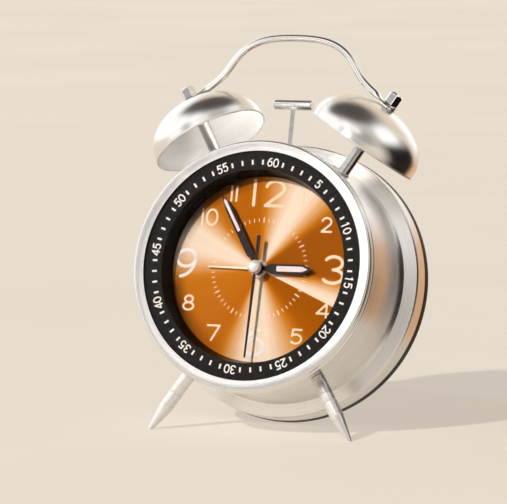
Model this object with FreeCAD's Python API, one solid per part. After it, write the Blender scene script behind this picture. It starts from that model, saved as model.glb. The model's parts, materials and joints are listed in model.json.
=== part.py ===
import FreeCAD, Part
import math
import os

os.makedirs("parts", exist_ok=True)

# Twin bell alarm clock, in millimetres.
# Each piece is drawn in the clock's own axes first: x to the right as seen from the front,
# y into the clock along its axis, z up along the face, with the origin in the middle of the
# front face. At the end everything is leaned back until the two legs and the rear cover's
# lower edge stand on one floor, which is z = 0, with the whole clock centred over the origin.

# fits
fit = 0.02              # pressed or screwed together
slip = 0.05             # a shaft turning in its hole
loose = 0.10            # one part slid into another
gap = 0.30              # between parts that pass each other
past = 5.0              # how far a cutting shape runs past a wall

# bezel, glass and minute ring
lip_radius = 46.6
face_radius = 50.5
bezel_round = 0.5
bezel_groove = 0.35
bezel_groove_front = 1.7
bezel_groove_width = 0.6
bead_swell = 0.8
bezel_depth = 4.2
lip_thickness = 0.4
glass_thickness = 0.8
ring_thickness = 0.8
ring_inner_radius = 39.4

# dial and its wall
wall_foot_radius = 37.7
wall_thickness = 1.2
flange_thickness = 0.8
dial_depth = 9.8
dial_radius = 44.0
dial_thickness = 0.5
collar_radius = 3.6
collar_thickness = 0.6
collar_slot = 1.0

# case drum, shoulder and rear band
sheet = 0.6
drum_front_radius = 49.6
drum_rear_radius = 49.9
flare_start = 36.2
crease_radius = 51.0
crease_depth = 40.0
shoulder_radius = 56.2
shoulder_depth = 41.3
shoulder_edge = 0.7
joggle = 0.5
skirt_length = 4.0
band_step = 0.25         # how far the band stands out past the shoulder
band_length = 10.0

# rear cover
cover_step = 0.2         # how far the cover stands out past the band
cover_rim = 2.0
cover_plate = 2.4
cover_round = 0.4
spigot_length = 5.0
spigot_wall = 1.6
rest_flat = 0.15        # depth of the small flat that the cover's edge stands on

# chassis and its pillars
chassis_floor = 1.3
chassis_rim = 1.5
pillar_radius = 2.8
pillar_angles = (45.0, 120.0, 240.0, 315.0)
pillar_reach = 44.5
boss_height = 2.6
screw_radius = 1.25
screw_head_radius = 2.5
screw_head_height = 1.4
screw_bite = 7.0
cross_length = 3.0
cross_width = 0.6
cross_depth = 0.7
head_recess = 0.1

# legs
leg_angle = 33.05
leg_depth = 15.9
leg_radius = 2.8
leg_tip_radius = 1.0
leg_groove_reach = 61.2
leg_groove_width = 0.45
leg_groove_depth = 0.22
leg_cone_reach = 68.2
leg_tip_reach = 79.4
leg_stud_radius = 1.9
inner_nut_flats = 7.0
inner_nut_height = 2.4
stud_end = 0.8

# bells, their posts and nuts
bell_angle = 31.35
bell_depth = 24.8
bell_radius = 24.0
bell_rim_reach = 63.4
bell_skirt = 2.5
bell_rise = 16.3
bell_wall = 0.8
bell_seat_radius = 3.4
post_radius = 2.4
post_foot_radius = 3.0
post_foot_height = 0.8
post_stud_radius = 1.5
washer_radius = 3.2
washer_thickness = 0.7
nut_flats = 4.8
nut_height = 5.1
nut_cap = 1.0
nut_air = 0.2
nut_top_share = 0.9

# carrying handle
rod_radius = 1.55
handle_top = 98.15
handle_crown_radius = 70.0
handle_crown_angle = 9.8
handle_corner_radius = 18.0
handle_flank_angle = 62.0
handle_foot_bend = 9.0
handle_flat_length = 5.0
eye_radius = 3.2
eye_thickness = 1.2
eye_tongue = 0.6

# hammer and its striker
hammer_depth = 29.4
hammer_pivot = 30.0
hammer_reach = 71.2
hammer_swing = 7.6      # degrees each way, which leaves the head just short of the bells
head_radius = 2.15
head_length = 16.6
head_round = 0.6
stem_width = 1.8
stem_thickness = 0.8
stem_bite = 2.4
pivot_pin_radius = 0.8
pivot_collar_radius = 1.6
pivot_clip_thickness = 0.5
pivot_pin_end = 0.3
pivot_boss_radius = 2.2
pivot_boss_length = 2.0
magnet_width = 4.0
magnet_height = 5.0
magnet_drop = 11.0
pole_thickness = 2.4
pole_gap = 6.0
pole_top = 20.0
pole_foot = 0.0
striker_coil_radius = 3.0
striker_coil_length = 9.2
bracket_thickness = 0.8
bracket_width = 22.0
bracket_bottom = 3.0
bracket_top = 34.0
bracket_tab_height = 5.0

# movement housing
movement_half = 25.0
movement_corner = 3.0
movement_wall = 1.2
movement_boss_radius = 2.6
front_room = 3.5
bridge_thickness = 0.8
rear_room = 7.1

# pipes and arbors on the clock's axis
seconds_radius = 0.5
cannon_radius = 0.95
hour_pipe_radius = 1.5
alarm_pipe_radius = 2.1
arbor_radius = 0.4
pivot_depth = 0.6
pinion_stand = 0.1         # how far a pinion stands out of its mate's layer

# gears: teeth and the size of a tooth (module)
motion_module = 0.5
cannon_teeth = 12
minute_teeth = 36
minute_pinion_teeth = 10
hour_teeth = 40
time_set_teeth = 18
alarm_teeth = 42
alarm_set_teeth = 34
pinion_teeth = 8
centre_teeth = 60
third_teeth = 64
train_module = 0.28
seconds_teeth = 32
intermediate_teeth = 60
seconds_module = 0.5
rotor_module = 0.25
rotor_magnet_radius = 3.0

# gear layers, measured back from the movement's inner front face or from the bridge
web = 0.6
layer_gap = 0.35
third_angle = 315.0
intermediate_angle = 110.0
rotor_angle = 120.0

# stator and drive coil
stator_thickness = 0.6
stator_eye = 5.2
stator_bar = 2.0
stator_return_bar = 1.4
stator_neck = 4.0
coil_radius = 1.8
coil_height = 18.5
coil_left = 2.0
coil_right = 20.0
coil_rest_width = 1.0

# setting arbors and knobs
knob_offset = 14.0
knob_height = 12.85
set_arbor_radius = 1.2
knob_radius = 6.0
knob_length = 6.2
knob_hub = 1.0
knob_flutes = 24
knob_flute_radius = 0.45
knob_bore_depth = 4.6
knob_air = 0.2
knob_dish_radius = 7.4
knob_dish_depth = 0.8
knob_hub_share = 0.45
knob_top_share = 0.94
knob_edge = 0.6

# hands: turned clockwise from twelve, in degrees
hand_thickness = 0.35
hour_hand_angle = 89.4
hour_hand_length = 23.7
hour_hand_width = 4.0
minute_hand_angle = 328.6
minute_hand_length = 33.8
minute_hand_width = 2.9
second_hand_angle = 181.4
second_hand_length = 36.8
second_hand_tail = 13.1
second_hand_width = 0.75
second_tail_width = 1.6
alarm_hand_angle = 270.0
alarm_hand_length = 21.9
alarm_hand_width = 1.2
hand_boss_radius = 2.6
alarm_hand_front = 8.45
hand_step = 1.1
hour_boss_drop = 0.3
second_boss_drop = 0.2
hand_tip_width = 0.5
cap_radius = 2.7
cap_height = 3.1

# battery bay and door
cell_radius = 7.25
cell_length = 49.0
cell_round = 0.5
nub_radius = 2.75
nub_length = 1.5
cell_pitch = 15.0
upper_cell_height = -13.5
bay_half_length = 27.4
bay_wall = 1.2
contact_thickness = 0.4
contact_half_width = 5.0
spring_radius = 3.2
door_thickness = 1.6
door_ledge = 2.0
door_pin_radius = 0.6
door_pin_length = 1.2
hinge_clearance = 0.2
grip_width = 14.0
grip_grooves = 5
grip_pitch = 1.6
grip_inset = 3.0
grip_depth = 0.35
finger_notch_radius = 6.5
finger_notch_depth = 0.9
finger_notch_lift = 2.5
door_open = 95.0        # degrees

# circuit board, lamp, switch and button
board_thickness = 1.2
board_post_length = 5.4
board_half_width = 24.0
board_bottom = 25.0
board_top = 40.0
board_post_radius = 1.6
board_post_inset = 2.0
switch_body_width = 12.0
button_body_width = 6.0
control_body_height = 6.0
chip_width = 6.0
chip_thickness = 1.4
crystal_radius = 1.0
crystal_offset = 6.0
control_height = 32.0
control_offset = 14.0
switch_travel = 4.0
switch_lever_width = 3.0
switch_lever_height = 2.6
switch_stand = 1.6
switch_plate_width = 11.0
switch_plate_height = 6.0
switch_plate_thickness = 1.0
button_radius = 4.0
button_flange_radius = 5.0
button_travel = 1.2
button_stand = 1.8
button_round = 0.5
plate_clearance = 0.15
lamp_radius = 1.5
lamp_length = 4.5
lamp_depth = 5.8
lamp_collar = 0.8
lamp_collar_share = 1.3

# what follows from the values above
band_radius = shoulder_radius + band_step
cover_radius = band_radius + cover_step
glass_back = lip_thickness + glass_thickness
ring_back = glass_back + ring_thickness
flange_back = ring_back + flange_thickness
drum_bore = drum_front_radius - sheet
inner_part_radius = drum_bore - 2 * loose
dial_back = dial_depth + dial_thickness
movement_front_face = dial_back + chassis_floor
room_front = movement_front_face + movement_wall
bridge_front = room_front + front_room
bridge_back = bridge_front + bridge_thickness
room_back = bridge_back + rear_room
movement_back = room_back + movement_wall
rim_back = shoulder_depth + shoulder_edge
band_back = rim_back + band_length
cover_back = band_back + cover_rim
cover_inner = cover_back - cover_plate
board_front = cover_inner - board_post_length - board_thickness
skirt_radius = shoulder_radius - joggle
spigot_radius = skirt_radius - loose
leg_drop = leg_tip_reach * math.cos(math.radians(leg_angle))
bell_top = bell_rim_reach + bell_skirt + bell_rise * math.sqrt(1 - (bell_seat_radius / bell_radius) ** 2)
eye_front = bell_top + washer_thickness
nut_front = eye_front + eye_thickness

# The floor touches the leg tips and, short of its round by the rest flat, the cover's edge.
rest_run = cover_back - cover_round - leg_depth
rest_rise = leg_drop - (cover_radius - cover_round)
rest_reach = math.hypot(rest_run, rest_rise)
lean = math.atan2(rest_rise, rest_run) - math.asin((cover_round - rest_flat) / rest_reach)
floor_drop = leg_depth * math.sin(lean) + leg_drop * math.cos(lean)


def point(x, y, z=0.0):
    return FreeCAD.Vector(x, y, z)


ALONG = point(0, 1, 0)
UP = point(0, 0, 1)
ACROSS = point(1, 0, 0)


# shapes about the clock's axis

def outline(steps, place):
    """A closed face from steps: two numbers are a line's end, four an arc's middle and end."""
    edges = []
    start = place(*steps[0])
    here = start
    for step in steps[1:] + [steps[0]]:
        there = place(*step[-2:])
        if len(step) == 4:
            edges.append(Part.Arc(here, place(*step[:2]), there).toShape())
        elif here.distanceToPoint(there) > 1e-6:
            edges.append(Part.makeLine(here, there))
        here = there
    return Part.Face(Part.Wire(edges))


def turned(steps):
    """A solid of revolution about the clock's axis, from steps of radius and depth."""
    face = outline(steps, lambda radius, depth: point(radius, depth, 0))
    return face.revolve(point(0, 0, 0), ALONG, 360)


def spun(steps):
    """A solid of revolution about z, from steps of radius and height."""
    face = outline(steps, lambda radius, height: point(radius, 0, height))
    return face.revolve(point(0, 0, 0), UP, 360)


def disc(radius, front, back, x=0.0, z=0.0):
    return Part.makeCylinder(radius, back - front, point(x, front, z), ALONG)


def tube(outer, inner, front, back, x=0.0, z=0.0):
    return disc(outer, front, back, x, z).cut(disc(inner, front - 1, back + 1, x, z))


def block(left, right, front, back, bottom, top):
    return Part.makeBox(right - left, back - front, top - bottom, point(left, front, bottom))


def crossbar(radius, left, right, depth, height):
    """A cylinder along x."""
    return Part.makeCylinder(radius, right - left, point(left, depth, height), ACROSS)


def column(radius, bottom, top):
    return Part.makeCylinder(radius, top - bottom, point(0, 0, bottom), UP)


def radial(shape, angle, depth):
    """Swing a shape that stands on z out to an angle from upright, and set it back to a depth."""
    moved = shape.copy()
    moved.rotate(point(0, 0, 0), ALONG, angle)
    moved.translate(point(0, depth, 0))
    return moved


def polar(distance, angle):
    """A place in the face's plane, with the angle counted from +x towards +z."""
    turn = math.radians(angle)
    return (distance * math.cos(turn), distance * math.sin(turn))


def hexagon(flats, bottom, top):
    """A hexagonal prism on z, with two of its flats square to y."""
    corner = flats / math.sqrt(3)
    places = []
    for index in range(6):
        turn = math.radians(60 * index)
        places.append(point(corner * math.cos(turn), corner * math.sin(turn), bottom))
    face = Part.Face(Part.makePolygon(places + places[:1]))
    return face.extrude(point(0, 0, top - bottom))


def drum_radius(depth):
    share = (depth - glass_back) / (flare_start - glass_back)
    return drum_front_radius + (drum_rear_radius - drum_front_radius) * share


def group(shapes):
    return Part.makeCompound(shapes)


# gears

def tooth_outline(teeth, module, phase):
    """The outline of a gear with straight-sided teeth that mesh with room to spare."""
    pitch_radius = teeth * module / 2
    tip = pitch_radius + 0.75 * module
    root = pitch_radius - 1.05 * module
    pitch = 360.0 / teeth
    shares = ((root, -0.29), (tip, -0.10), (tip, 0.10), (root, 0.29))
    places = []
    for index in range(teeth):
        middle = phase + index * pitch
        for radius, share in shares:
            places.append(polar(radius, middle + share * pitch))
    return places


def gear(teeth, module, centre, front, back, phase=0.0, bore=0.0):
    places = []
    for x, z in tooth_outline(teeth, module, phase):
        places.append(point(centre[0] + x, front, centre[1] + z))
    wheel = Part.Face(Part.makePolygon(places + places[:1])).extrude(point(0, back - front, 0))
    if bore:
        wheel = wheel.cut(disc(bore, front - 1, back + 1, *centre))
    return wheel


def meshed_phase(phase, teeth, other_teeth, direction):
    """The phase of a gear whose gaps meet the teeth of another that lies against it."""
    along = (direction - phase) / (360.0 / teeth)
    return direction + 180.0 - (360.0 / other_teeth) * (0.5 - along)


def direction_to(start, end):
    return math.degrees(math.atan2(end[1] - start[1], end[0] - start[0]))


def crossing(first, first_distance, second, second_distance):
    """The place at one distance from one centre and another distance from the other."""
    apart = math.hypot(second[0] - first[0], second[1] - first[1])
    share = (first_distance ** 2 - second_distance ** 2 + apart ** 2) / (2 * apart)
    off = math.sqrt(max(first_distance ** 2 - share ** 2, 0.0))
    along = ((second[0] - first[0]) / apart, (second[1] - first[1]) / apart)
    return (first[0] + along[0] * share - along[1] * off, first[1] + along[1] * share + along[0] * off)


# where the wheels stand
axis = (0.0, 0.0)
minute_distance = motion_module * (cannon_teeth + minute_teeth) / 2
time_set_distance = motion_module * (minute_teeth + time_set_teeth) / 2
hour_module = 2 * minute_distance / (minute_pinion_teeth + hour_teeth)
time_set_place = (-knob_offset, knob_height)
alarm_set_place = (knob_offset, knob_height)
minute_place = crossing(axis, minute_distance, time_set_place, time_set_distance)
alarm_module = 2 * math.hypot(knob_offset, knob_height) / (alarm_teeth + alarm_set_teeth)
third_distance = train_module * (pinion_teeth + centre_teeth) / 2
third_module = 2 * third_distance / (pinion_teeth + third_teeth)
third_place = polar(third_distance, third_angle)
intermediate_distance = seconds_module * (pinion_teeth + seconds_teeth) / 2
intermediate_place = polar(intermediate_distance, intermediate_angle)
rotor_distance = rotor_module * (pinion_teeth + intermediate_teeth) / 2
rotor_step = polar(rotor_distance, rotor_angle)
rotor_place = (intermediate_place[0] + rotor_step[0], intermediate_place[1] + rotor_step[1])

# gear layers
alarm_layer = room_front + 0.5 * layer_gap
hour_layer = alarm_layer + web + layer_gap
minute_layer = hour_layer + web + layer_gap
centre_layer = bridge_back + layer_gap
third_layer = centre_layer + web + layer_gap
seconds_layer = third_layer + web + layer_gap
intermediate_layer = seconds_layer + web + layer_gap
rotor_layer = intermediate_layer + web + layer_gap


# front of the clock

def make_bezel():
    skirt = drum_front_radius + slip
    side = face_radius + bezel_round
    groove = side - bezel_groove
    groove_back = bezel_groove_front + bezel_groove_width
    corner = bezel_round * (1 - math.sqrt(0.5))
    return turned([
        (lip_radius, 0.0),
        (face_radius, 0.0),
        (side - corner, corner, side, bezel_round),
        (side, bezel_groove_front),
        (groove, bezel_groove_front + 0.2 * bezel_groove_width),
        (groove, groove_back - 0.2 * bezel_groove_width),
        (side, groove_back),
        (side + bead_swell, (groove_back + bezel_depth) / 2, side, bezel_depth),
        (skirt, bezel_depth),
        (skirt, lip_thickness),
        (lip_radius, lip_thickness),
    ])


def make_spacer():
    lamp_hole = crossbar(lamp_radius + slip, wall_foot_radius - 1, inner_part_radius, lamp_depth, 0)
    wall = turned([
        (ring_inner_radius, ring_back),
        (inner_part_radius, ring_back),
        (inner_part_radius, flange_back),
        (ring_inner_radius + wall_thickness, flange_back),
        (wall_foot_radius + wall_thickness, dial_depth),
        (wall_foot_radius, dial_depth),
    ])
    return wall.cut(lamp_hole)


def make_lamp():
    start = wall_foot_radius + 0.5 * wall_thickness
    body = crossbar(lamp_radius, start, start + lamp_length, lamp_depth, 0)
    collar_start = ring_inner_radius + wall_thickness + slip
    collar = crossbar(lamp_collar_share * lamp_radius, collar_start, collar_start + lamp_collar,
                      lamp_depth, 0)
    return body.fuse(collar).removeSplitter()


def make_dial():
    return tube(dial_radius, movement_boss_radius + slip, dial_depth, dial_back)


def make_collar():
    nut = tube(collar_radius, movement_boss_radius + fit, dial_depth - collar_thickness, dial_depth)
    front = dial_depth - collar_thickness
    slot = block(-collar_slot / 2, collar_slot / 2, front, front + 0.5 * collar_thickness,
                 -collar_radius - 1, collar_radius + 1)
    return nut.cut(slot)


# case

def make_case():
    chord_radius = crease_radius - drum_rear_radius
    chord_depth = crease_depth - flare_start
    half_turn = math.atan2(chord_radius, chord_depth)
    bend = math.hypot(chord_radius, chord_depth) / (2 * math.sin(half_turn))
    middle_radius = drum_rear_radius + bend * (1 - math.cos(half_turn))
    middle_depth = flare_start + bend * math.sin(half_turn)
    edge_round = 0.5 * shoulder_edge
    corner = edge_round * (1 - math.sqrt(0.5))
    skirt_inner = skirt_radius - sheet
    skirt_end = rim_back + skirt_length
    shell = turned([
        (drum_front_radius, glass_back),
        (drum_rear_radius, flare_start),
        (middle_radius, middle_depth, crease_radius, crease_depth),
        (shoulder_radius - edge_round, shoulder_depth),
        (shoulder_radius - corner, shoulder_depth + corner, shoulder_radius, shoulder_depth + edge_round),
        (shoulder_radius, rim_back),
        (skirt_radius, rim_back),
        (skirt_radius, skirt_end),
        (skirt_inner, skirt_end),
        (skirt_inner, rim_back),
        (crease_radius - 0.2 * sheet, crease_depth + sheet),
        (middle_radius - sheet, middle_depth + 0.3 * sheet, drum_rear_radius - sheet, flare_start),
        (drum_bore, glass_back),
    ])
    for side in (-1, 1):
        leg_hole = column(leg_stud_radius + slip, drum_bore - past, drum_rear_radius + past)
        post_hole = column(post_stud_radius + slip, drum_bore - past, drum_rear_radius + past)
        shell = shell.cut(radial(leg_hole, side * (180 - leg_angle), leg_depth))
        shell = shell.cut(radial(post_hole, side * bell_angle, bell_depth))
    slot_half = (drum_rear_radius - hammer_pivot) * math.tan(math.radians(hammer_swing)) + stem_width
    slot_depth = stem_thickness / 2 + 2 * gap
    slot = block(-slot_half, slot_half, hammer_depth - slot_depth, hammer_depth + slot_depth,
                 drum_bore - past, drum_rear_radius + past)
    return shell.cut(slot)


def make_band():
    inner = skirt_radius + loose
    return turned([
        (inner, rim_back),
        (band_radius - 0.25, rim_back),
        (band_radius, rim_back + 0.25),
        (band_radius, band_back),
        (inner, band_back),
    ])


def make_chassis():
    frame = disc(inner_part_radius, dial_back, movement_front_face)
    frame = frame.fuse(tube(inner_part_radius, inner_part_radius - chassis_rim, flange_back, dial_back))
    frame = frame.cut(disc(movement_boss_radius + slip, 0, movement_front_face + 1))
    pillar_end = cover_inner - boss_height
    for angle in pillar_angles:
        x, z = polar(pillar_reach, 90 - angle)
        frame = frame.fuse(disc(pillar_radius, dial_back, pillar_end, x, z))
        frame = frame.cut(disc(screw_radius + fit, pillar_end - screw_bite - 1, pillar_end + 1, x, z))
    return frame.removeSplitter()


# legs, bells and handle

def make_leg(side):
    top = drum_radius(leg_depth) + slip
    groove_top = leg_groove_reach - leg_groove_width / 2
    groove_end = leg_groove_reach + leg_groove_width / 2
    nut_end = drum_bore - inner_nut_height - stud_end
    past_floor = 3 * leg_tip_radius
    slope = (leg_radius - leg_tip_radius) / (leg_tip_reach - leg_cone_reach)
    leg = spun([
        (0.0, nut_end),
        (leg_stud_radius, nut_end),
        (leg_stud_radius, top),
        (leg_radius, top),
        (leg_radius, groove_top),
        (leg_radius - leg_groove_depth, groove_top + leg_groove_depth),
        (leg_radius - leg_groove_depth, groove_end - leg_groove_depth),
        (leg_radius, groove_end),
        (leg_radius, leg_cone_reach),
        (max(leg_tip_radius - slope * past_floor, 0.1), leg_tip_reach + past_floor),
        (0.0, leg_tip_reach + past_floor),
    ])
    return radial(leg, side * (180 - leg_angle), leg_depth).cut(below_floor())


def below_floor():
    """Everything under the floor, in the clock's own axes."""
    size = 4 * cover_radius
    slab = block(-size, size, -size, size, -floor_drop - size, -floor_drop)
    slab.rotate(point(0, 0, 0), ACROSS, math.degrees(lean))
    return slab


def make_inner_nuts(angle_from_top, depth, stud_radius):
    nuts = []
    sagitta = inner_nut_flats ** 2 / 6 / drum_bore
    top = drum_radius(depth) - sheet - sagitta
    for side in (-1, 1):
        nut = hexagon(inner_nut_flats, top - inner_nut_height, top)
        nut = nut.cut(column(stud_radius + fit, top - 2 * inner_nut_height, top + 1))
        nuts.append(radial(nut, side * angle_from_top, depth))
    return group(nuts)


def dome_face(radius, rise, skirt):
    """Half the section of a dome: a short skirt, a quarter ellipse and a flat seat on top."""
    foot = point(radius, 0, skirt)
    crown = point(0, 0, skirt + rise)
    centre = point(0, 0, skirt)
    turn = math.acos(bell_seat_radius / radius)
    if radius > rise:
        arc = Part.Ellipse(foot, crown, centre).toShape(0, turn)
    else:
        arc = Part.Ellipse(crown, foot, centre).toShape(math.pi / 2 - turn, math.pi / 2)
    top = skirt + rise * math.sin(turn)
    edges = [
        Part.makeLine(point(0, 0, 0), point(radius, 0, 0)),
        Part.makeLine(point(radius, 0, 0), foot),
        arc,
        Part.makeLine(point(bell_seat_radius, 0, top), point(0, 0, top)),
        Part.makeLine(point(0, 0, top), point(0, 0, 0)),
    ]
    return Part.Face(Part.Wire(Part.__sortEdges__(edges)))


def bell_inner_top():
    inner_radius = bell_radius - bell_wall
    inner_rise = bell_rise - bell_wall
    return bell_rim_reach + bell_skirt + inner_rise * math.sqrt(1 - (bell_seat_radius / inner_radius) ** 2)


def make_bell(side):
    outer = dome_face(bell_radius, bell_rise, bell_skirt).revolve(point(0, 0, 0), UP, 360)
    inner = dome_face(bell_radius - bell_wall, bell_rise - bell_wall, bell_skirt)
    inner = inner.revolve(point(0, 0, 0), UP, 360)
    bell = outer.cut(inner)
    bell = bell.cut(column(post_stud_radius + loose, 0, 2 * bell_rise + bell_skirt))
    bell.translate(point(0, 0, bell_rim_reach))
    return radial(bell, side * bell_angle, bell_depth)


def make_post(side):
    foot = drum_radius(bell_depth) + slip
    shoulder = bell_inner_top() - washer_thickness
    nut_end = drum_bore - inner_nut_height - stud_end
    stud_top = nut_front + nut_height - nut_cap - nut_air
    post = spun([
        (0.0, nut_end),
        (post_stud_radius, nut_end),
        (post_stud_radius, foot),
        (post_foot_radius, foot),
        (post_foot_radius, foot + 0.5 * post_foot_height),
        (post_radius, foot + post_foot_height),
        (post_radius, shoulder),
        (post_stud_radius, shoulder),
        (post_stud_radius, stud_top),
        (0.0, stud_top),
    ])
    return radial(post, side * bell_angle, bell_depth)


def make_washers():
    washers = []
    bore = post_stud_radius + loose
    for side in (-1, 1):
        for bottom in (bell_inner_top() - washer_thickness, bell_top):
            washer = column(washer_radius, bottom, bottom + washer_thickness)
            washer = washer.cut(column(bore, bottom - 1, bottom + washer_thickness + 1))
            washers.append(radial(washer, side * bell_angle, bell_depth))
    return group(washers)


def make_bell_nuts():
    nuts = []
    top = nut_front + nut_height
    corner = nut_flats / math.sqrt(3)
    face = nut_top_share * nut_flats / 2
    chamfer = spun([
        (0.0, nut_front - 1),
        (2 * corner, nut_front - 1),
        (2 * corner, top - 2 * corner + face),
        (face, top),
        (0.0, top),
    ])
    for side in (-1, 1):
        nut = hexagon(nut_flats, nut_front, top).common(chamfer)
        nut = nut.cut(column(post_stud_radius + fit, nut_front - 1, top - nut_cap))
        nuts.append(radial(nut, side * bell_angle, bell_depth))
    return group(nuts)


def handle_path():
    """The right half of the rod's centre line, from the crown to the flattened end.

    Its crown arc and corner arc turn it down, a straight flank follows, and the foot's bend
    turns it back until it lies along the top of the bell. The flank and the foot are as long
    as it takes to reach the eye.
    """
    flank = math.radians(handle_flank_angle)
    foot = math.radians(bell_angle)
    eye_reach = eye_front + eye_thickness / 2
    eye = (eye_reach * math.sin(foot), eye_reach * math.cos(foot))
    crown_end = math.radians(handle_crown_angle)

    def turn_right(start, radius, first, last):
        return (start[0] + radius * (math.sin(last) - math.sin(first)),
                start[1] - radius * (math.cos(first) - math.cos(last)))

    def turn_left(start, radius, first, last):
        return (start[0] + radius * (math.sin(first) - math.sin(last)),
                start[1] - radius * (math.cos(last) - math.cos(first)))

    crown = (0.0, handle_top)
    crown_middle = turn_right(crown, handle_crown_radius, 0.0, crown_end / 2)
    corner = turn_right(crown, handle_crown_radius, 0.0, crown_end)
    corner_middle = turn_right(corner, handle_corner_radius, crown_end, (crown_end + flank) / 2)
    flank_start = turn_right(corner, handle_corner_radius, crown_end, flank)
    bend_step = turn_left((0.0, 0.0), handle_foot_bend, flank, foot)
    left = (eye[0] - flank_start[0] - bend_step[0], eye[1] - flank_start[1] - bend_step[1])
    across = math.sin(flank - foot)
    flank_length = (left[0] * math.sin(foot) + left[1] * math.cos(foot)) / -across
    foot_length = (left[0] * math.sin(flank) + left[1] * math.cos(flank)) / across
    flank_end = (flank_start[0] + flank_length * math.cos(flank),
                 flank_start[1] - flank_length * math.sin(flank))
    bend_middle = turn_left(flank_end, handle_foot_bend, flank, (flank + foot) / 2)
    foot_start = (flank_end[0] + bend_step[0], flank_end[1] + bend_step[1])
    rod_length = foot_length - handle_flat_length - eye_radius
    rod_end = (foot_start[0] + rod_length * math.cos(foot), foot_start[1] - rod_length * math.sin(foot))
    return [crown, (crown_middle, corner), (corner_middle, flank_start), flank_end,
            (bend_middle, foot_start), rod_end]


def make_handle():
    steps = handle_path()
    edges = []
    here = steps[0]
    for step in steps[1:]:
        if isinstance(step[0], tuple):
            middle, there = step
            places = [point(x, 0, z) for x, z in (here, middle, there)]
            edges.append(Part.Arc(*places).toShape())
        else:
            there = step
            edges.append(Part.makeLine(point(here[0], 0, here[1]), point(there[0], 0, there[1])))
        here = there
    section = Part.Wire(Part.makeCircle(rod_radius, point(0, 0, handle_top), ACROSS))
    half = Part.Wire(edges).makePipeShell([section], True, False)
    foot = math.radians(bell_angle)
    along = point(math.cos(foot), 0, -math.sin(foot))
    normal = point(math.sin(foot), 0, math.cos(foot))
    rod_end = point(here[0], 0, here[1])
    flat_end = rod_end + along * handle_flat_length
    round_wire = Part.Wire(Part.makeCircle(rod_radius, rod_end, along))
    ellipse = Part.Ellipse(flat_end + ALONG * eye_radius, flat_end + normal * (eye_thickness / 2), flat_end)
    flat_wire = Part.Wire(ellipse.toShape())
    taper = Part.makeLoft([round_wire, flat_wire], True, True)
    plate = column(eye_radius, eye_front, eye_front + eye_thickness)
    tongue = Part.makeBox(eye_radius + eye_tongue, 2 * eye_radius, eye_thickness,
                          point(-eye_radius - eye_tongue, -eye_radius, eye_front))
    bore = column(post_stud_radius + loose, eye_front - 1, eye_front + eye_thickness + 1)
    plate = plate.fuse(tongue).cut(bore)
    plate.rotate(point(0, 0, 0), ALONG, bell_angle)
    half = half.fuse([taper, plate])
    other = half.mirror(point(0, 0, 0), ACROSS)
    handle = half.fuse(other).removeSplitter()
    handle.translate(point(0, bell_depth, 0))
    return handle


# hammer and striker

def make_hammer_stem():
    front = hammer_depth - stem_thickness / 2
    back = hammer_depth + stem_thickness / 2
    top = hammer_reach - head_radius + stem_bite
    magnet_top = hammer_pivot - magnet_drop
    strip = block(-stem_width / 2, stem_width / 2, front, back, magnet_top, top)
    half_boss = pivot_boss_length / 2
    boss = disc(pivot_boss_radius, hammer_depth - half_boss, hammer_depth + half_boss, 0, hammer_pivot)
    hole = disc(pivot_pin_radius + slip, 0, cover_back, 0, hammer_pivot)
    return strip.fuse(boss).cut(hole).removeSplitter()


def make_hammer_head():
    half = head_length / 2
    corner = head_round * (1 - math.sqrt(0.5))
    face = outline([
        (0.0, -half),
        (head_radius - head_round, -half),
        (head_radius - corner, -half + corner, head_radius, -half + head_round),
        (head_radius, half - head_round),
        (head_radius - corner, half - corner, head_radius - head_round, half),
        (0.0, half),
    ], lambda radius, along: point(along, 0, radius))
    head = face.revolve(point(0, 0, 0), ACROSS, 360)
    head.translate(point(0, hammer_depth, hammer_reach))
    return head.cut(make_hammer_stem())


def make_magnet():
    front = hammer_depth - pole_thickness / 2
    back = front + pole_thickness
    top = hammer_pivot - magnet_drop
    return block(-magnet_width / 2, magnet_width / 2, front, back, top - magnet_height, top)


def make_striker_core():
    front = hammer_depth - pole_thickness / 2
    outer = pole_gap + pole_thickness
    bar_top = pole_foot + pole_thickness
    core = block(-outer, outer, front, front + pole_thickness, pole_foot, bar_top)
    for side in (-1, 1):
        near, far = sorted((side * pole_gap, side * outer))
        core = core.fuse(block(near, far, front, front + pole_thickness, pole_foot, pole_top))
    return core.removeSplitter()


def make_striker_coil():
    middle = pole_foot + pole_thickness / 2
    end = striker_coil_length / 2
    winding = crossbar(striker_coil_radius, -end, end, hammer_depth, middle)
    half = pole_thickness / 2 + fit
    front = hammer_depth - half
    return winding.cut(block(-end - 1, end + 1, front, front + 2 * half, middle - half, middle + half))


def make_striker_bracket():
    half = bracket_width / 2
    back = movement_back + bracket_thickness
    plate = block(-half, half, movement_back, back, bracket_bottom, bracket_top)
    tab_front = hammer_depth - pole_thickness / 2
    for side in (-1, 1):
        near, far = sorted((side * pole_gap, side * (pole_gap + pole_thickness)))
        plate = plate.fuse(block(near, far, movement_back, tab_front, bracket_bottom,
                                 bracket_bottom + bracket_tab_height))
    return plate.removeSplitter()


def make_striker_pin():
    boss_end = hammer_depth + pivot_boss_length / 2 + slip
    clip_end = boss_end + pivot_clip_thickness
    plate_back = movement_back + bracket_thickness
    shank = disc(pivot_pin_radius, plate_back, clip_end + pivot_pin_end, 0, hammer_pivot)
    shoulder_end = hammer_depth - pivot_boss_length / 2 - slip
    shoulder = disc(pivot_collar_radius, plate_back, shoulder_end, 0, hammer_pivot)
    clip = disc(pivot_collar_radius, boss_end, clip_end, 0, hammer_pivot)
    return shank.fuse([shoulder, clip]).removeSplitter()


# movement housing

def housing_prism(half, front, back, corner):
    box = block(-half, half, front, back, -half, half)
    upright = [edge for edge in box.Edges if abs(edge.tangentAt(edge.FirstParameter).y) > 0.9]
    return box.makeFillet(corner, upright)


def pivot_hole(place, front, back):
    return disc(arbor_radius + slip, front, back, *place)


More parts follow.
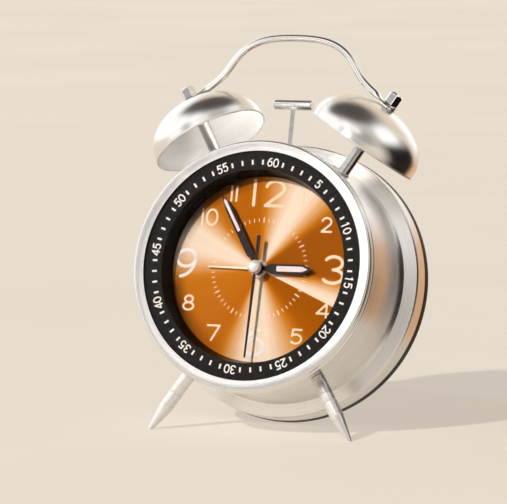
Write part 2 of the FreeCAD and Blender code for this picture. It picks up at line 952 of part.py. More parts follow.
def train_arbor(place):
    """An arbor whose ends turn in the bridge and in the movement's rear wall."""
    return disc(arbor_radius, bridge_back - pivot_depth + slip, room_back + pivot_depth - slip, *place)


def make_movement_front():
    body = housing_prism(movement_half, movement_front_face, bridge_front, movement_corner)
    inner_corner = max(movement_corner - movement_wall, 0.2)
    room = housing_prism(movement_half - movement_wall, room_front, bridge_front + 1, inner_corner)
    boss = disc(movement_boss_radius, dial_depth - collar_thickness, movement_front_face + 0.1)
    body = body.cut(room).fuse(boss)
    body = body.cut(disc(alarm_pipe_radius + slip, 0, room_front + 1))
    for place in (minute_place, time_set_place, alarm_set_place):
        body = body.cut(pivot_hole(place, room_front - pivot_depth, room_front + 1))
    return body.removeSplitter()


def make_bridge():
    plate = housing_prism(movement_half, bridge_front, bridge_back, movement_corner)
    plate = plate.cut(disc(cannon_radius + slip, bridge_front - 1, bridge_back + 1))
    for place in (time_set_place, alarm_set_place):
        plate = plate.cut(disc(set_arbor_radius + slip, bridge_front - 1, bridge_back + 1, *place))
    plate = plate.cut(pivot_hole(minute_place, bridge_front - 1, bridge_front + pivot_depth))
    for place in (third_place, intermediate_place, rotor_place):
        plate = plate.cut(pivot_hole(place, bridge_back - pivot_depth, bridge_back + 1))
    return plate


def make_movement_rear():
    body = housing_prism(movement_half, bridge_back, movement_back, movement_corner)
    inner_corner = max(movement_corner - movement_wall, 0.2)
    room = housing_prism(movement_half - movement_wall, bridge_back - 1, room_back, inner_corner)
    body = body.cut(room)
    for place in (third_place, intermediate_place, rotor_place):
        body = body.cut(pivot_hole(place, room_back - 1, room_back + pivot_depth))
    body = body.cut(disc(seconds_radius + slip, room_back - 1, room_back + pivot_depth))
    for place in (time_set_place, alarm_set_place):
        body = body.cut(disc(set_arbor_radius + slip, room_back - 1, movement_back + 1, *place))
    half_bar = stator_bar / 2
    for left in (coil_left - 2 * coil_rest_width, coil_right + gap):
        rest = block(left, left + coil_rest_width, stator_front() + stator_thickness, movement_back - slip,
                     coil_height - half_bar, coil_height + half_bar)
        body = body.fuse(rest)
    return body.removeSplitter()


# wheels

def make_seconds_wheel():
    phase = 0.0
    small = gear(pinion_teeth, third_module, axis, third_layer - pinion_stand,
                 third_layer + web + 2 * pinion_stand, phase)
    large = gear(seconds_teeth, seconds_module, axis, seconds_layer, seconds_layer + web, phase)
    arbor = disc(seconds_radius, cap_bore_front(), room_back + pivot_depth - slip)
    return arbor.fuse([small, large]).removeSplitter()


def third_phase():
    return meshed_phase(0.0, pinion_teeth, third_teeth, third_angle)


def make_third_wheel():
    large = gear(third_teeth, third_module, third_place, third_layer, third_layer + web, third_phase())
    small = gear(pinion_teeth, train_module, third_place, centre_layer - pinion_stand,
                 centre_layer + web + pinion_stand, 0.0)
    return train_arbor(third_place).fuse([large, small]).removeSplitter()


def make_centre_wheel():
    phase = meshed_phase(0.0, pinion_teeth, centre_teeth, third_angle + 180)
    wheel = gear(centre_teeth, train_module, axis, centre_layer, centre_layer + web, phase)
    hub = disc(2 * cannon_radius, bridge_back + slip, centre_layer + web)
    return wheel.fuse(hub).cut(disc(seconds_radius + slip, 0, room_back)).removeSplitter()


def make_intermediate_wheel():
    small_phase = meshed_phase(0.0, seconds_teeth, pinion_teeth, intermediate_angle)
    small = gear(pinion_teeth, seconds_module, intermediate_place,
                 seconds_layer - pinion_stand, seconds_layer + web + 2 * pinion_stand, small_phase)
    large = gear(intermediate_teeth, rotor_module, intermediate_place,
                 intermediate_layer, intermediate_layer + web, 0.0)
    return train_arbor(intermediate_place).fuse([small, large]).removeSplitter()


def make_rotor():
    phase = meshed_phase(0.0, intermediate_teeth, pinion_teeth, rotor_angle)
    small = gear(pinion_teeth, rotor_module, rotor_place,
                 intermediate_layer - pinion_stand, intermediate_layer + web + pinion_stand, phase)
    magnet = disc(rotor_magnet_radius, rotor_layer, rotor_layer + 2 * web, *rotor_place)
    return train_arbor(rotor_place).fuse([small, magnet]).removeSplitter()


def stator_front():
    return room_back - slip - coil_radius - stator_thickness / 2


def make_stator():
    front = stator_front()
    back = front + stator_thickness
    right = coil_right + stator_bar
    return_bottom = coil_height + coil_radius + gap
    return_top = return_bottom + stator_return_bar
    plate = disc(stator_eye, front, back, *rotor_place)
    plate = plate.fuse(block(rotor_place[0], right, front, back,
                             coil_height - stator_bar / 2, coil_height + stator_bar / 2))
    plate = plate.fuse(block(rotor_place[0], right, front, back, return_bottom, return_top))
    plate = plate.fuse(block(right - stator_bar, right, front, back, coil_height, return_top))
    half_neck = stator_neck / 2
    plate = plate.fuse(block(rotor_place[0] - half_neck, rotor_place[0] + half_neck, front, back,
                             rotor_place[1], return_top))
    return plate.cut(disc(rotor_magnet_radius + gap, front - 1, back + 1, *rotor_place)).removeSplitter()


def make_drive_coil():
    middle = stator_front() + stator_thickness / 2
    coil = crossbar(coil_radius, coil_left, coil_right - stator_bar - gap, middle, coil_height)
    half_bar = stator_bar / 2 + fit
    half_sheet = stator_thickness / 2 + fit
    hole = block(coil_left - 1, coil_right + 1, middle - half_sheet, middle + half_sheet,
                 coil_height - half_bar, coil_height + half_bar)
    return coil.cut(hole)


def minute_direction():
    return direction_to(axis, minute_place)


def make_cannon():
    pinion = gear(cannon_teeth, motion_module, axis, minute_layer - pinion_stand, bridge_front - slip, 0.0)
    pipe = disc(cannon_radius, minute_hand_front() - slip, bridge_back - slip)
    return pipe.fuse(pinion).cut(disc(seconds_radius + slip, 0, room_back)).removeSplitter()


def minute_phase():
    return meshed_phase(0.0, cannon_teeth, minute_teeth, minute_direction())


def make_minute_wheel():
    large = gear(minute_teeth, motion_module, minute_place, minute_layer, minute_layer + web,
                 minute_phase())
    small = gear(minute_pinion_teeth, hour_module, minute_place, hour_layer - pinion_stand,
                 minute_layer + pinion_stand, 0.0)
    arbor = disc(arbor_radius, room_front - pivot_depth + slip, bridge_front + pivot_depth - slip,
                 *minute_place)
    return arbor.fuse([large, small]).removeSplitter()


def make_hour_wheel():
    phase = meshed_phase(0.0, minute_pinion_teeth, hour_teeth, minute_direction() + 180)
    wheel = gear(hour_teeth, hour_module, axis, hour_layer, hour_layer + web, phase)
    pipe = disc(hour_pipe_radius, hour_hand_front() - slip, hour_layer + web)
    return pipe.fuse(wheel).cut(disc(cannon_radius + slip, 0, bridge_front)).removeSplitter()


def make_alarm_wheel():
    wheel = gear(alarm_teeth, alarm_module, axis, alarm_layer, alarm_layer + web, 0.0)
    pipe = disc(alarm_pipe_radius, alarm_hand_front - slip, alarm_layer + web)
    return pipe.fuse(wheel).cut(disc(hour_pipe_radius + slip, 0, bridge_front)).removeSplitter()


# setting arbors and knobs

def make_set_arbor(place, wheel):
    front = room_front - pivot_depth + slip
    pivot = disc(arbor_radius, front, room_front + slip, *place)
    end = knob_front() + knob_hub + knob_bore_depth - knob_air
    shaft = disc(set_arbor_radius, room_front + slip, end, *place)
    return shaft.fuse([pivot, wheel]).removeSplitter()


def make_time_set_arbor():
    direction = direction_to(minute_place, time_set_place)
    phase = meshed_phase(minute_phase(), minute_teeth, time_set_teeth, direction)
    wheel = gear(time_set_teeth, motion_module, time_set_place, minute_layer - pinion_stand,
                 minute_layer + web + pinion_stand, phase)
    return make_set_arbor(time_set_place, wheel)


def make_alarm_set_arbor():
    direction = direction_to(axis, alarm_set_place)
    phase = meshed_phase(0.0, alarm_teeth, alarm_set_teeth, direction)
    wheel = gear(alarm_set_teeth, alarm_module, alarm_set_place, alarm_layer, alarm_layer + web, phase)
    return make_set_arbor(alarm_set_place, wheel)


def knob_front():
    return cover_back - knob_dish_depth + gap


def make_knob(place):
    front = knob_front()
    hub_radius = knob_hub_share * knob_radius
    top_radius = knob_top_share * knob_radius
    knob = turned([
        (0.0, front),
        (hub_radius, front),
        (hub_radius, front + knob_hub),
        (knob_radius, front + knob_hub),
        (top_radius, front + knob_length - knob_edge),
        (top_radius - knob_edge, front + knob_length),
        (0.0, front + knob_length),
    ])
    flutes = []
    for index in range(knob_flutes):
        x, z = polar(knob_radius + 0.4 * knob_flute_radius, index * 360.0 / knob_flutes)
        flutes.append(disc(knob_flute_radius, front, front + knob_length + 1, x, z))
    knob = knob.cut(group(flutes))
    knob.translate(point(place[0], 0, place[1]))
    return knob.cut(disc(set_arbor_radius + fit, front - 1, front + knob_hub + knob_bore_depth, *place))


# hands

def hour_hand_front():
    return alarm_hand_front - hand_step


def minute_hand_front():
    return hour_hand_front() - hand_step


def second_hand_front():
    return minute_hand_front() - hand_step


def cap_bore_front():
    return second_hand_front() - 0.5 * cap_height


def hand_from(places, front, bore, boss_radius, angle, boss_drop):
    """A flat hand that points up, with a round boss, turned clockwise to its angle."""
    corners = [point(x, front, z) for x, z in places]
    blade = Part.Face(Part.makePolygon(corners + corners[:1])).extrude(point(0, hand_thickness, 0))
    boss = disc(boss_radius, front, front + hand_thickness + boss_drop)
    hand = blade.fuse(boss).cut(disc(bore, 0, dial_depth)).removeSplitter()
    hand.rotate(point(0, 0, 0), ALONG, angle)
    return hand


def pointed(length, width, neck, neck_end, shoulder, tip):
    """Half the outline of a spear hand, mirrored into a whole one."""
    right = [(neck / 2, 0.0), (neck / 2, neck_end), (width / 2, neck_end + 0.6 * width),
             (width / 2, shoulder), (tip / 2, length)]
    return right + [(-x, z) for x, z in reversed(right)]


def make_hour_hand():
    neck_end = 1.4 * hand_boss_radius
    places = pointed(hour_hand_length, hour_hand_width, 0.45 * hour_hand_width, neck_end,
                     hour_hand_length - hour_hand_width, hand_tip_width)
    return hand_from(places, hour_hand_front(), hour_pipe_radius + fit, hand_boss_radius, hour_hand_angle,
                     hour_boss_drop)


def make_minute_hand():
    neck_end = 1.8 * hand_boss_radius
    places = pointed(minute_hand_length, minute_hand_width, 0.45 * minute_hand_width, neck_end,
                     minute_hand_length - 2 * minute_hand_width, hand_tip_width)
    return hand_from(places, minute_hand_front(), cannon_radius + fit, 0.9 * hand_boss_radius,
                     minute_hand_angle, hour_boss_drop)


def make_second_hand():
    half = second_hand_width / 2
    tail = second_tail_width / 2
    tip = 0.6 * half
    tail_start = -0.35 * second_hand_tail
    places = [(half, 0.0), (tip, second_hand_length), (-tip, second_hand_length), (-half, 0.0),
              (-tail, tail_start), (-tail, -second_hand_tail),
              (tail, -second_hand_tail), (tail, tail_start)]
    return hand_from(places, second_hand_front(), seconds_radius + fit, 0.8 * cap_radius, second_hand_angle,
                     second_boss_drop)


def make_alarm_hand():
    half = alarm_hand_width / 2
    places = [(half, 0.0), (0.5 * half, alarm_hand_length), (-0.5 * half, alarm_hand_length), (-half, 0.0)]
    return hand_from(places, alarm_hand_front, alarm_pipe_radius + fit, 1.1 * hand_boss_radius,
                     alarm_hand_angle, 0.0)


def make_cap():
    base = second_hand_front()
    front = base - cap_height
    flat = 0.25 * cap_radius
    cap = turned([
        (0.0, base),
        (cap_radius, base),
        (cap_radius, base - 0.15 * cap_height),
        (0.80 * cap_radius, base - 0.70 * cap_height, flat, front),
        (0.0, front),
    ])
    return cap.cut(disc(seconds_radius + fit, cap_bore_front() - slip, base + 1))


# rear cover and what it carries

def bay_bottom():
    return upper_cell_height - cell_pitch - cell_radius - gap


def bay_top():
    return upper_cell_height + cell_radius + gap


def bay_floor_back():
    return door_front() - 2 * cell_radius - 2 * gap


def door_front():
    return cover_back - door_thickness - 0.02


def hinge_height():
    return bay_bottom() - door_ledge - 0.5 * door_thickness - 0.75


def hinge_depth():
    return cover_back - 0.02 - door_thickness / 2


def make_cover():
    rim_front = band_back
    corner = cover_round * (1 - math.sqrt(0.5))
    inner = spigot_radius - spigot_wall
    cover = turned([
        (0.0, cover_inner),
        (inner, cover_inner),
        (inner, band_back - spigot_length),
        (spigot_radius, band_back - spigot_length),
        (spigot_radius, rim_front),
        (cover_radius, rim_front),
        (cover_radius, cover_back - cover_round),
        (cover_radius - corner, cover_back - corner, cover_radius - cover_round, cover_back),
        (0.0, cover_back),
    ])
    outer = bay_half_length + bay_wall
    tray = block(-outer, outer, bay_floor_back() - bay_wall, cover_inner + 0.1,
                 bay_bottom() - bay_wall, bay_top() + bay_wall)
    posts = []
    for angle in pillar_angles:
        x, z = polar(pillar_reach, 90 - angle)
        posts.append(disc(pillar_radius, cover_inner - boss_height, cover_inner + 0.1, x, z))
    for side in (-1, 1):
        x = side * (board_half_width - board_post_inset)
        for z in (board_bottom + board_post_inset, board_top - board_post_inset):
            posts.append(disc(board_post_radius, board_front + board_thickness, cover_inner + 0.1, x, z))
    cover = cover.fuse([tray] + posts)
    cover = cover.cut(block(-bay_half_length, bay_half_length, bay_floor_back(), cover_back + 1,
                            bay_bottom(), bay_top()))
    cover = cover.cut(make_door_recess())
    for place in (time_set_place, alarm_set_place):
        cover = cover.cut(disc(set_arbor_radius + loose, cover_inner - 1, cover_back + 1, *place))
        cover = cover.cut(disc(knob_dish_radius, cover_back - knob_dish_depth, cover_back + 1, *place))
    for angle in pillar_angles:
        x, z = polar(pillar_reach, 90 - angle)
        cover = cover.cut(disc(screw_radius + loose, cover_inner - boss_height - 1, cover_back + 1, x, z))
        seat = cover_back - screw_head_height
        cover = cover.cut(disc(screw_head_radius + loose, seat, cover_back + 1, x, z))
    half_slot = switch_travel / 2 + switch_lever_width / 2 + gap
    half_height = switch_lever_height / 2 + gap
    cover = cover.cut(block(-control_offset - half_slot, -control_offset + half_slot, cover_inner - 1,
                            cover_back + 1, control_height - half_height, control_height + half_height))
    button_hole = disc(button_radius + gap, cover_inner - 1, cover_back + 1, control_offset, control_height)
    cover = cover.cut(button_hole)
    cover = cover.cut(below_floor())
    return cover.removeSplitter()


def make_door_recess():
    half = bay_half_length + door_ledge + gap
    top = bay_top() + door_ledge + gap
    recess = block(-half, half, door_front() - 0.05, cover_back + 1, hinge_height(), top)
    hinge = crossbar(door_thickness / 2 + hinge_clearance, -half, half, hinge_depth(), hinge_height())
    below = block(-half, half, hinge_depth(), cover_back + 1,
                  hinge_height() - door_thickness / 2 - hinge_clearance, hinge_height())
    reach = bay_half_length + door_ledge + door_pin_length + gap
    sockets = crossbar(door_pin_radius + slip, -reach, reach, hinge_depth(), hinge_height())
    notch_front = cover_back - finger_notch_depth
    finger = disc(finger_notch_radius, notch_front, cover_back + 1, 0, top + finger_notch_lift)
    return recess.fuse([hinge, below, sockets, finger])


def make_door():
    half = bay_half_length + door_ledge
    top = bay_top() + door_ledge
    front = hinge_depth() - door_thickness / 2
    back = hinge_depth() + door_thickness / 2
    plate = block(-half, half, front, back, hinge_height(), top)
    edge = crossbar(door_thickness / 2, -half, half, hinge_depth(), hinge_height())
    reach = half + door_pin_length
    pins = crossbar(door_pin_radius, -reach, reach, hinge_depth(), hinge_height())
    door = plate.fuse([edge, pins])
    for index in range(grip_grooves):
        height = top - grip_inset - grip_pitch * index
        groove = block(-grip_width / 2, grip_width / 2, back - grip_depth, back + 1,
                       height - grip_depth, height + grip_depth)
        door = door.cut(groove)
    return door.removeSplitter()


def make_cells():
    cells = []
    depth = door_front() - gap - cell_radius
    for index, side in enumerate((1, -1)):
        height = upper_cell_height - index * cell_pitch
        tip = side * (bay_half_length - contact_thickness)
        shoulder = tip - side * nub_length
        body = Part.makeCylinder(cell_radius, cell_length, point(shoulder, depth, height), ACROSS * -side)
        rims = [edge for edge in body.Edges if edge.Closed]
        body = body.makeFillet(cell_round, rims)
        nub = Part.makeCylinder(nub_radius, nub_length + 0.2, point(tip, depth, height), ACROSS * -side)
        cells.append(body.fuse(nub).removeSplitter())
    return group(cells)


def make_contacts():
    contacts = []
    depth = door_front() - gap - cell_radius
    wall = bay_half_length
    plate = wall - contact_thickness
    free = 2 * plate - cell_length - nub_length
    for index, side in enumerate((1, -1)):
        height = upper_cell_height - index * cell_pitch
        near, far = sorted((side * plate, side * wall))
        contacts.append(block(near, far, depth - contact_half_width, depth + contact_half_width,
                              height - contact_half_width, height + contact_half_width))
        near, far = sorted((-side * plate, -side * wall))
        base = block(near, far, depth - contact_half_width, depth + contact_half_width,
                              height - contact_half_width, height + contact_half_width)
        spring = Part.makeCone(spring_radius, 0.6 * spring_radius, free - slip,
                               point(-side * plate, depth, height), ACROSS * side)
        contacts.append(base.fuse(spring).removeSplitter())
    return group(contacts)


def make_board():
    back = board_front + board_thickness
    board = block(-board_half_width, board_half_width, board_front, back, board_bottom, board_top)
    low = control_height - control_body_height / 2
    high = control_height + control_body_height / 2
    plate_front = control_plate_front()
    switch_left = -control_offset - switch_body_width / 2
    switch_body = block(switch_left, switch_left + switch_body_width, back, plate_front - plate_clearance,
                        low, high)
    button_left = control_offset - button_body_width / 2
    button_body = block(button_left, button_left + button_body_width,
                        back, plate_front - button_travel - gap, low, high)
    chip = block(-chip_width / 2, chip_width / 2, board_front - chip_thickness, board_front, low, high)
    crystal_front = board_front - crystal_radius
    crystal = Part.makeCylinder(crystal_radius, high - low, point(crystal_offset, crystal_front, low), UP)
    foot_left = crystal_offset - crystal_radius / 2
    crystal_foot = block(foot_left, foot_left + crystal_radius, crystal_front, board_front, low, high)
    return board.fuse([switch_body, button_body, chip, crystal, crystal_foot]).removeSplitter()


def control_plate_front():
    return cover_inner - plate_clearance - switch_plate_thickness


def make_switch():
    middle = -control_offset - switch_travel / 2
    front = control_plate_front()
    plate = block(middle - switch_plate_width / 2, middle + switch_plate_width / 2, front,
                  front + switch_plate_thickness, control_height - switch_plate_height / 2,
                  control_height + switch_plate_height / 2)
    lever = block(middle - switch_lever_width / 2, middle + switch_lever_width / 2, front,
                  cover_back + switch_stand, control_height - switch_lever_height / 2,
                  control_height + switch_lever_height / 2)
    return plate.fuse(lever).removeSplitter()


def make_button():
    front = control_plate_front()
    flange_end = front + switch_plate_thickness
    flange = disc(button_flange_radius, front, flange_end, control_offset, control_height)
    cap = disc(button_radius, front, cover_back + button_stand, control_offset, control_height)
    top_edges = [edge for edge in cap.Edges if edge.Closed and edge.CenterOfMass.y > cover_back]
    cap = cap.makeFillet(button_round, top_edges)
    return cap.fuse(flange).removeSplitter()


def make_screws():
    screws = []
    seat = cover_back - screw_head_height
    head_top = cover_back - head_recess
    long = cross_length / 2
    short = cross_width / 2
    for angle in pillar_angles:
        x, z = polar(pillar_reach, 90 - angle)
        shank = disc(screw_radius, cover_inner - boss_height - screw_bite, seat, x, z)
        head = disc(screw_head_radius, seat, head_top, x, z)
        floor = head_top - cross_depth
        cross = block(x - long, x + long, floor, head_top + 1, z - short, z + short)
        cross = cross.fuse(block(x - short, x + short, floor, head_top + 1, z - long, z + long))
        screws.append(shank.fuse(head).cut(cross).removeSplitter())
    return group(screws)


# the whole clock

def clock_pieces():
    pieces = {
        "bezel_ring": make_bezel(),
        "front_glass": disc(drum_front_radius - gap, lip_thickness, glass_back),
        "chapter_ring": tube(inner_part_radius, ring_inner_radius, glass_back, ring_back),
        "dial_spacer": make_spacer(),
        "led_lamp": make_lamp(),
        "dial_plate": make_dial(),
        "dial_collar": make_collar(),
        "case_shell": make_case(),
        "rear_band": make_band(),
        "chassis_frame": make_chassis(),
        "leg_left": make_leg(-1),
        "leg_right": make_leg(1),
        "leg_nuts": make_inner_nuts(180 - leg_angle, leg_depth, leg_stud_radius),
        "bell_left": make_bell(-1),
        "bell_right": make_bell(1),
        "bell_post_left": make_post(-1),
        "bell_post_right": make_post(1),
        "post_nuts": make_inner_nuts(bell_angle, bell_depth, post_stud_radius),
        "bell_washers": make_washers(),
        "bell_nuts": make_bell_nuts(),
        "handle": make_handle(),
        "hammer_stem": make_hammer_stem(),
        "hammer_head": make_hammer_head(),
        "hammer_magnet": make_magnet(),
        "striker_core": make_striker_core(),
        "striker_coil": make_striker_coil(),
        "striker_bracket": make_striker_bracket(),
        "striker_pin": make_striker_pin(),
        "movement_front": make_movement_front(),
        "movement_bridge": make_bridge(),
        "movement_rear": make_movement_rear(),
        "seconds_wheel": make_seconds_wheel(),
        "third_wheel": make_third_wheel(),
        "centre_wheel": make_centre_wheel(),
        "intermediate_wheel": make_intermediate_wheel(),
        "rotor": make_rotor(),
        "stator": make_stator(),
        "drive_coil": make_drive_coil(),
        "cannon_pinion": make_cannon(),
        "minute_wheel": make_minute_wheel(),
        "hour_wheel": make_hour_wheel(),
        "alarm_wheel": make_alarm_wheel(),
        "time_set_arbor": make_time_set_arbor(),
        "alarm_set_arbor": make_alarm_set_arbor(),
        "time_set_knob": make_knob(time_set_place),
        "alarm_set_knob": make_knob(alarm_set_place),
        "hour_hand": make_hour_hand(),
        "minute_hand": make_minute_hand(),
        "second_hand": make_second_hand(),
        "alarm_hand": make_alarm_hand(),
        "hand_cap": make_cap(),
        "rear_cover": make_cover(),
        "battery_door": make_door(),
        "battery_cells": make_cells(),
        "battery_contacts": make_contacts(),
        "circuit_board": make_board(),
        "alarm_switch": make_switch(),
        "light_button": make_button(),
        "cover_screws": make_screws(),
    }
    return pieces


def standing(shape, middle=0.0):
    """Lean a shape back and set it on the floor, with the whole clock's middle over the origin."""
    moved = shape.copy()
    moved.rotate(point(0, 0, 0), ACROSS, -math.degrees(lean))
    moved.translate(point(0, -middle, floor_drop))
    return moved


def middle_depth(pieces):
    """How far back the middle of the standing clock lies before it is centred."""
    whole = standing(group(list(pieces.values()))).optimalBoundingBox(False, False)
    return (whole.YMin + whole.YMax) / 2


pieces = clock_pieces()
middle = middle_depth(pieces)
for name, shape in pieces.items():
    placed = standing(shape, middle)
    placed.exportStep("parts/" + name + ".step")
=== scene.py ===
import json
import math

import bmesh
import bpy
import numpy as np
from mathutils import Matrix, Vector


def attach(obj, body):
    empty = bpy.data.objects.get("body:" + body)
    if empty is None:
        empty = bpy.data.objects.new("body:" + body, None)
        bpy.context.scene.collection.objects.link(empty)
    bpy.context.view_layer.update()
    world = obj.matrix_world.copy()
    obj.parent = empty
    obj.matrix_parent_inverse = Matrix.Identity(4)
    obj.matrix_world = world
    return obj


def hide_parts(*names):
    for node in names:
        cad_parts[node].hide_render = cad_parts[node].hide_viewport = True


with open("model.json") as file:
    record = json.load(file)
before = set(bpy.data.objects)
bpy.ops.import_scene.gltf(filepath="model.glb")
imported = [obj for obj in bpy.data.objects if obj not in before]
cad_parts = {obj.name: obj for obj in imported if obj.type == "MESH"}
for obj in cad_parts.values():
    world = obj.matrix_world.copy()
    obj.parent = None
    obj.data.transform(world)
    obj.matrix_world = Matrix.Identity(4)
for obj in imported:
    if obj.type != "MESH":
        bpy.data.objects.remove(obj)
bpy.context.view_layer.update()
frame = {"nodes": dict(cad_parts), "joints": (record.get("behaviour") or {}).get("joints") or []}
nodes = frame["nodes"]
print("frame loaded:", len(nodes), "nodes")

# The face's own axes: across to the right, inward through the dial, up the leaning face.
faceJoint = next(j for j in frame["joints"] if j["name"] == "second_hand_turn")
dialDepth = 9.8  # mm from the front face to the dial, where that joint's point lies
across = np.array([1.0, 0.0, 0.0])
inward = np.array(faceJoint["axis"], float)
upFace = np.cross(across, inward)
faceMiddle = np.array(faceJoint["pos_m"], float) - 0.001 * dialDepth * inward
lean = math.atan2(upFace[1], upFace[2])


def toFrame(points):
    # face millimetres (x across, y inward, z up the face) to frame metres
    p = np.asarray(points, float) * 0.001
    return faceMiddle + p[..., 0:1] * across + p[..., 1:2] * inward + p[..., 2:3] * upFace


def ways(angle):
    # the directions (across, up) away from the middle and on round, at an angle clockwise from twelve
    a = math.radians(angle)
    return np.array([math.sin(a), math.cos(a)]), np.array([math.cos(a), -math.sin(a)])


def clockwise(angle, distance, depth):
    # the point at an angle clockwise from twelve
    a = math.radians(angle)
    return np.array([distance * math.sin(a), depth, distance * math.cos(a)])


# Surfaces: rows of points in face millimetres, joined by quads, with the metal's grain at each point.
def gridFaces(rows, columns, wrapRows, wrapColumns):
    # quads between neighbouring rows and columns; a wrapped side joins its last line to its first
    i, j = np.meshgrid(np.arange(rows if wrapRows else rows - 1),
                       np.arange(columns if wrapColumns else columns - 1), indexing="ij")
    i, j = i.ravel(), j.ravel()
    k, m = (i + 1) % rows, (j + 1) % columns
    return np.stack([i * columns + j, k * columns + j, k * columns + m, i * columns + m], 1)


def gridded(points, grain=None, ring=False):
    # a surface from rows of points that each close on themselves; in a ring the last row joins the first
    grain = np.zeros_like(points) if grain is None else grain
    return points.reshape(-1, 3), gridFaces(*points.shape[:2], ring, True), grain.reshape(-1, 3)


def softened(corners, bend, closed=True, count=5):
    # each corner P becomes an arc from A to B, up to 'bend' before and after it:
    # ((1-t)^2 A + 2t(1-t) w P + t^2 B) / ((1-t)^2 + 2t(1-t) w + t^2), with w the sine of half the corner's angle
    p = np.array(corners, float)
    before, after = np.roll(p, 1, 0) - p, np.roll(p, -1, 0) - p
    lb = np.maximum(np.linalg.norm(before, axis=1), 1e-9)[:, None]
    la = np.maximum(np.linalg.norm(after, axis=1), 1e-9)[:, None]
    cut = np.minimum(np.broadcast_to(np.asarray(bend, float).reshape(-1, 1), (len(p), 1)),
                     0.48 * np.minimum(la, lb))
    a, b = p + before / lb * cut, p + after / la * cut
    w = np.sqrt(np.clip((1 - (before / lb * after / la).sum(1)) / 2, 0, 1))[:, None, None]
    t = np.linspace(0, 1, count)[None, :, None]
    share = (1 - t) ** 2 + 2 * t * (1 - t) * w + t ** 2
    soft = ((1 - t) ** 2 * a[:, None] + 2 * t * (1 - t) * w * p[:, None] + t ** 2 * b[:, None]) / share
    if not closed:
        soft[0], soft[-1] = p[0], p[-1]
    return soft.reshape(-1, 2)


def turnedSurface(profile, steps, origin=(0, 0, 0), axis=(0, 1, 0), ring=True):
    # radius r and height h turned by the angle t: origin + h axis + r (cos t side + sin t other)
    profile, axis = np.array(profile, float), np.array(axis, float)
    helper = np.array([0.0, 1.0, 0.0]) if abs(axis[1]) < 0.9 else np.array([0.0, 0.0, 1.0])
    side = np.cross(helper, axis)
    side /= np.linalg.norm(side)
    other = np.cross(axis, side)
    t = np.linspace(0, 2 * math.pi, steps, endpoint=False)
    turn = np.cos(t)[:, None] * side + np.sin(t)[:, None] * other
    r, h = profile[:, 0], profile[:, 1]
    points = np.asarray(origin) + h[:, None, None] * axis + r[:, None, None] * turn[None]
    along = np.concatenate([[0], np.cumsum(np.linalg.norm(np.diff(profile, axis=0), axis=1))])
    grain = np.stack(np.broadcast_arrays(along[:, None], r[:, None] * np.cos(t), r[:, None] * np.sin(t)), -1)
    return gridded(points, grain, ring)


def joined(parts):
    # several surfaces as one
    points, faces, grains, start = [], [], [], 0
    for p, f, g in parts:
        points.append(p)
        faces.append(f + start)
        grains.append(g)
        start += len(p)
    return np.concatenate(points), np.concatenate(faces), np.concatenate(grains)


def stand(name, data, place=(0, 0, 0), facing=None, front="Z"):
    # a new object in the scene, turned so that its front axis points the way it faces
    thing = bpy.data.objects.new(name, data)
    thing.location = place
    if facing is not None:
        thing.rotation_mode = "QUATERNION"
        thing.rotation_quaternion = Vector(facing).to_track_quat(front, "Y")
    bpy.context.scene.collection.objects.link(thing)
    return thing


def addPiece(name, surface, look, body, replaces=(), sharp=32, moved=None):
    points, faces, grain = surface
    placed = toFrame(points) if moved is None else moved(toFrame(points))
    mesh = bpy.data.meshes.new(name)
    mesh.from_pydata(placed.tolist(), [], faces.tolist())
    layer = mesh.attributes.new("grain", "FLOAT_VECTOR", "POINT")
    layer.data.foreach_set("vector", np.ascontiguousarray(grain, np.float32).ravel())
    shell = bmesh.new()
    shell.from_mesh(mesh)
    bmesh.ops.remove_doubles(shell, verts=shell.verts, dist=2e-7)
    bmesh.ops.recalc_face_normals(shell, faces=shell.faces)
    shell.to_mesh(mesh)
    shell.free()
    mesh.shade_smooth()
    mesh.set_sharp_from_angle(angle=math.radians(sharp))
    mesh.materials.append(finish[look])
    piece = stand(name, mesh)
    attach(piece, body)
    if replaces:
        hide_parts(*replaces)
    return piece


def linearColour(text):
    # sRGB hex to linear red, green, blue and a full alpha
    value = np.array([int(text[i:i + 2], 16) for i in (1, 3, 5)]) / 255
    linear = np.where(value <= 0.04045, value / 12.92, ((value + 0.055) / 1.055) ** 2.4)
    return (*linear.tolist(), 1.0)


def feed(tree, socket, value):
    # a socket, or a node's first output, is linked; anything else is the socket's own value
    if isinstance(value, bpy.types.Node):
        value = value.outputs[0]
    if isinstance(value, bpy.types.NodeSocket):
        tree.links.new(value, socket)
    else:
        socket.default_value = value


def addNode(tree, kind, inputs=(), stops=None, **settings):
    # a kind of node, such as Math.ADD with its operation; inputs come by name, or in the node's own order, which
    # for a range is [value, from low, from high, to low, to high]
    kind, *operation = kind.split(".")
    node = tree.nodes.new("ShaderNode" + kind)
    if operation:
        node.operation = operation[0]
    for key, value in settings.items():
        setattr(node, key, value)
    for key, value in inputs.items() if isinstance(inputs, dict) else enumerate(inputs):
        feed(tree, node.inputs[key], value)
    if stops:
        ramp = node.color_ramp.elements
        while len(ramp) < len(stops):
            ramp.new(0.5)
        for element, (place, colour) in zip(ramp, stops):
            element.position = place
        for element, (place, colour) in zip(ramp, stops):
            element.color = linearColour(colour)
    return node


def startMaterial(name, **surfaceValues):
    material = bpy.data.materials.new(name)
    material.use_nodes = True
    tree = material.node_tree
    surface = next(n for n in tree.nodes if n.type == "BSDF_PRINCIPLED")
    for key, value in surfaceValues.items():
        surface.inputs[key.replace("_", " ")].default_value = value
    return material, tree, surface


def finished(material, tree, surface, tone, rough, height, strength, distance):
    # the colour, the roughness and a fine relief go to the shader
    bump = addNode(tree, "Bump", {"Height": height, "Strength": strength, "Distance": distance})
    for name, value in (("Base Color", tone), ("Roughness", rough), ("Normal", bump)):
        feed(tree, surface.inputs[name], value)
    return material


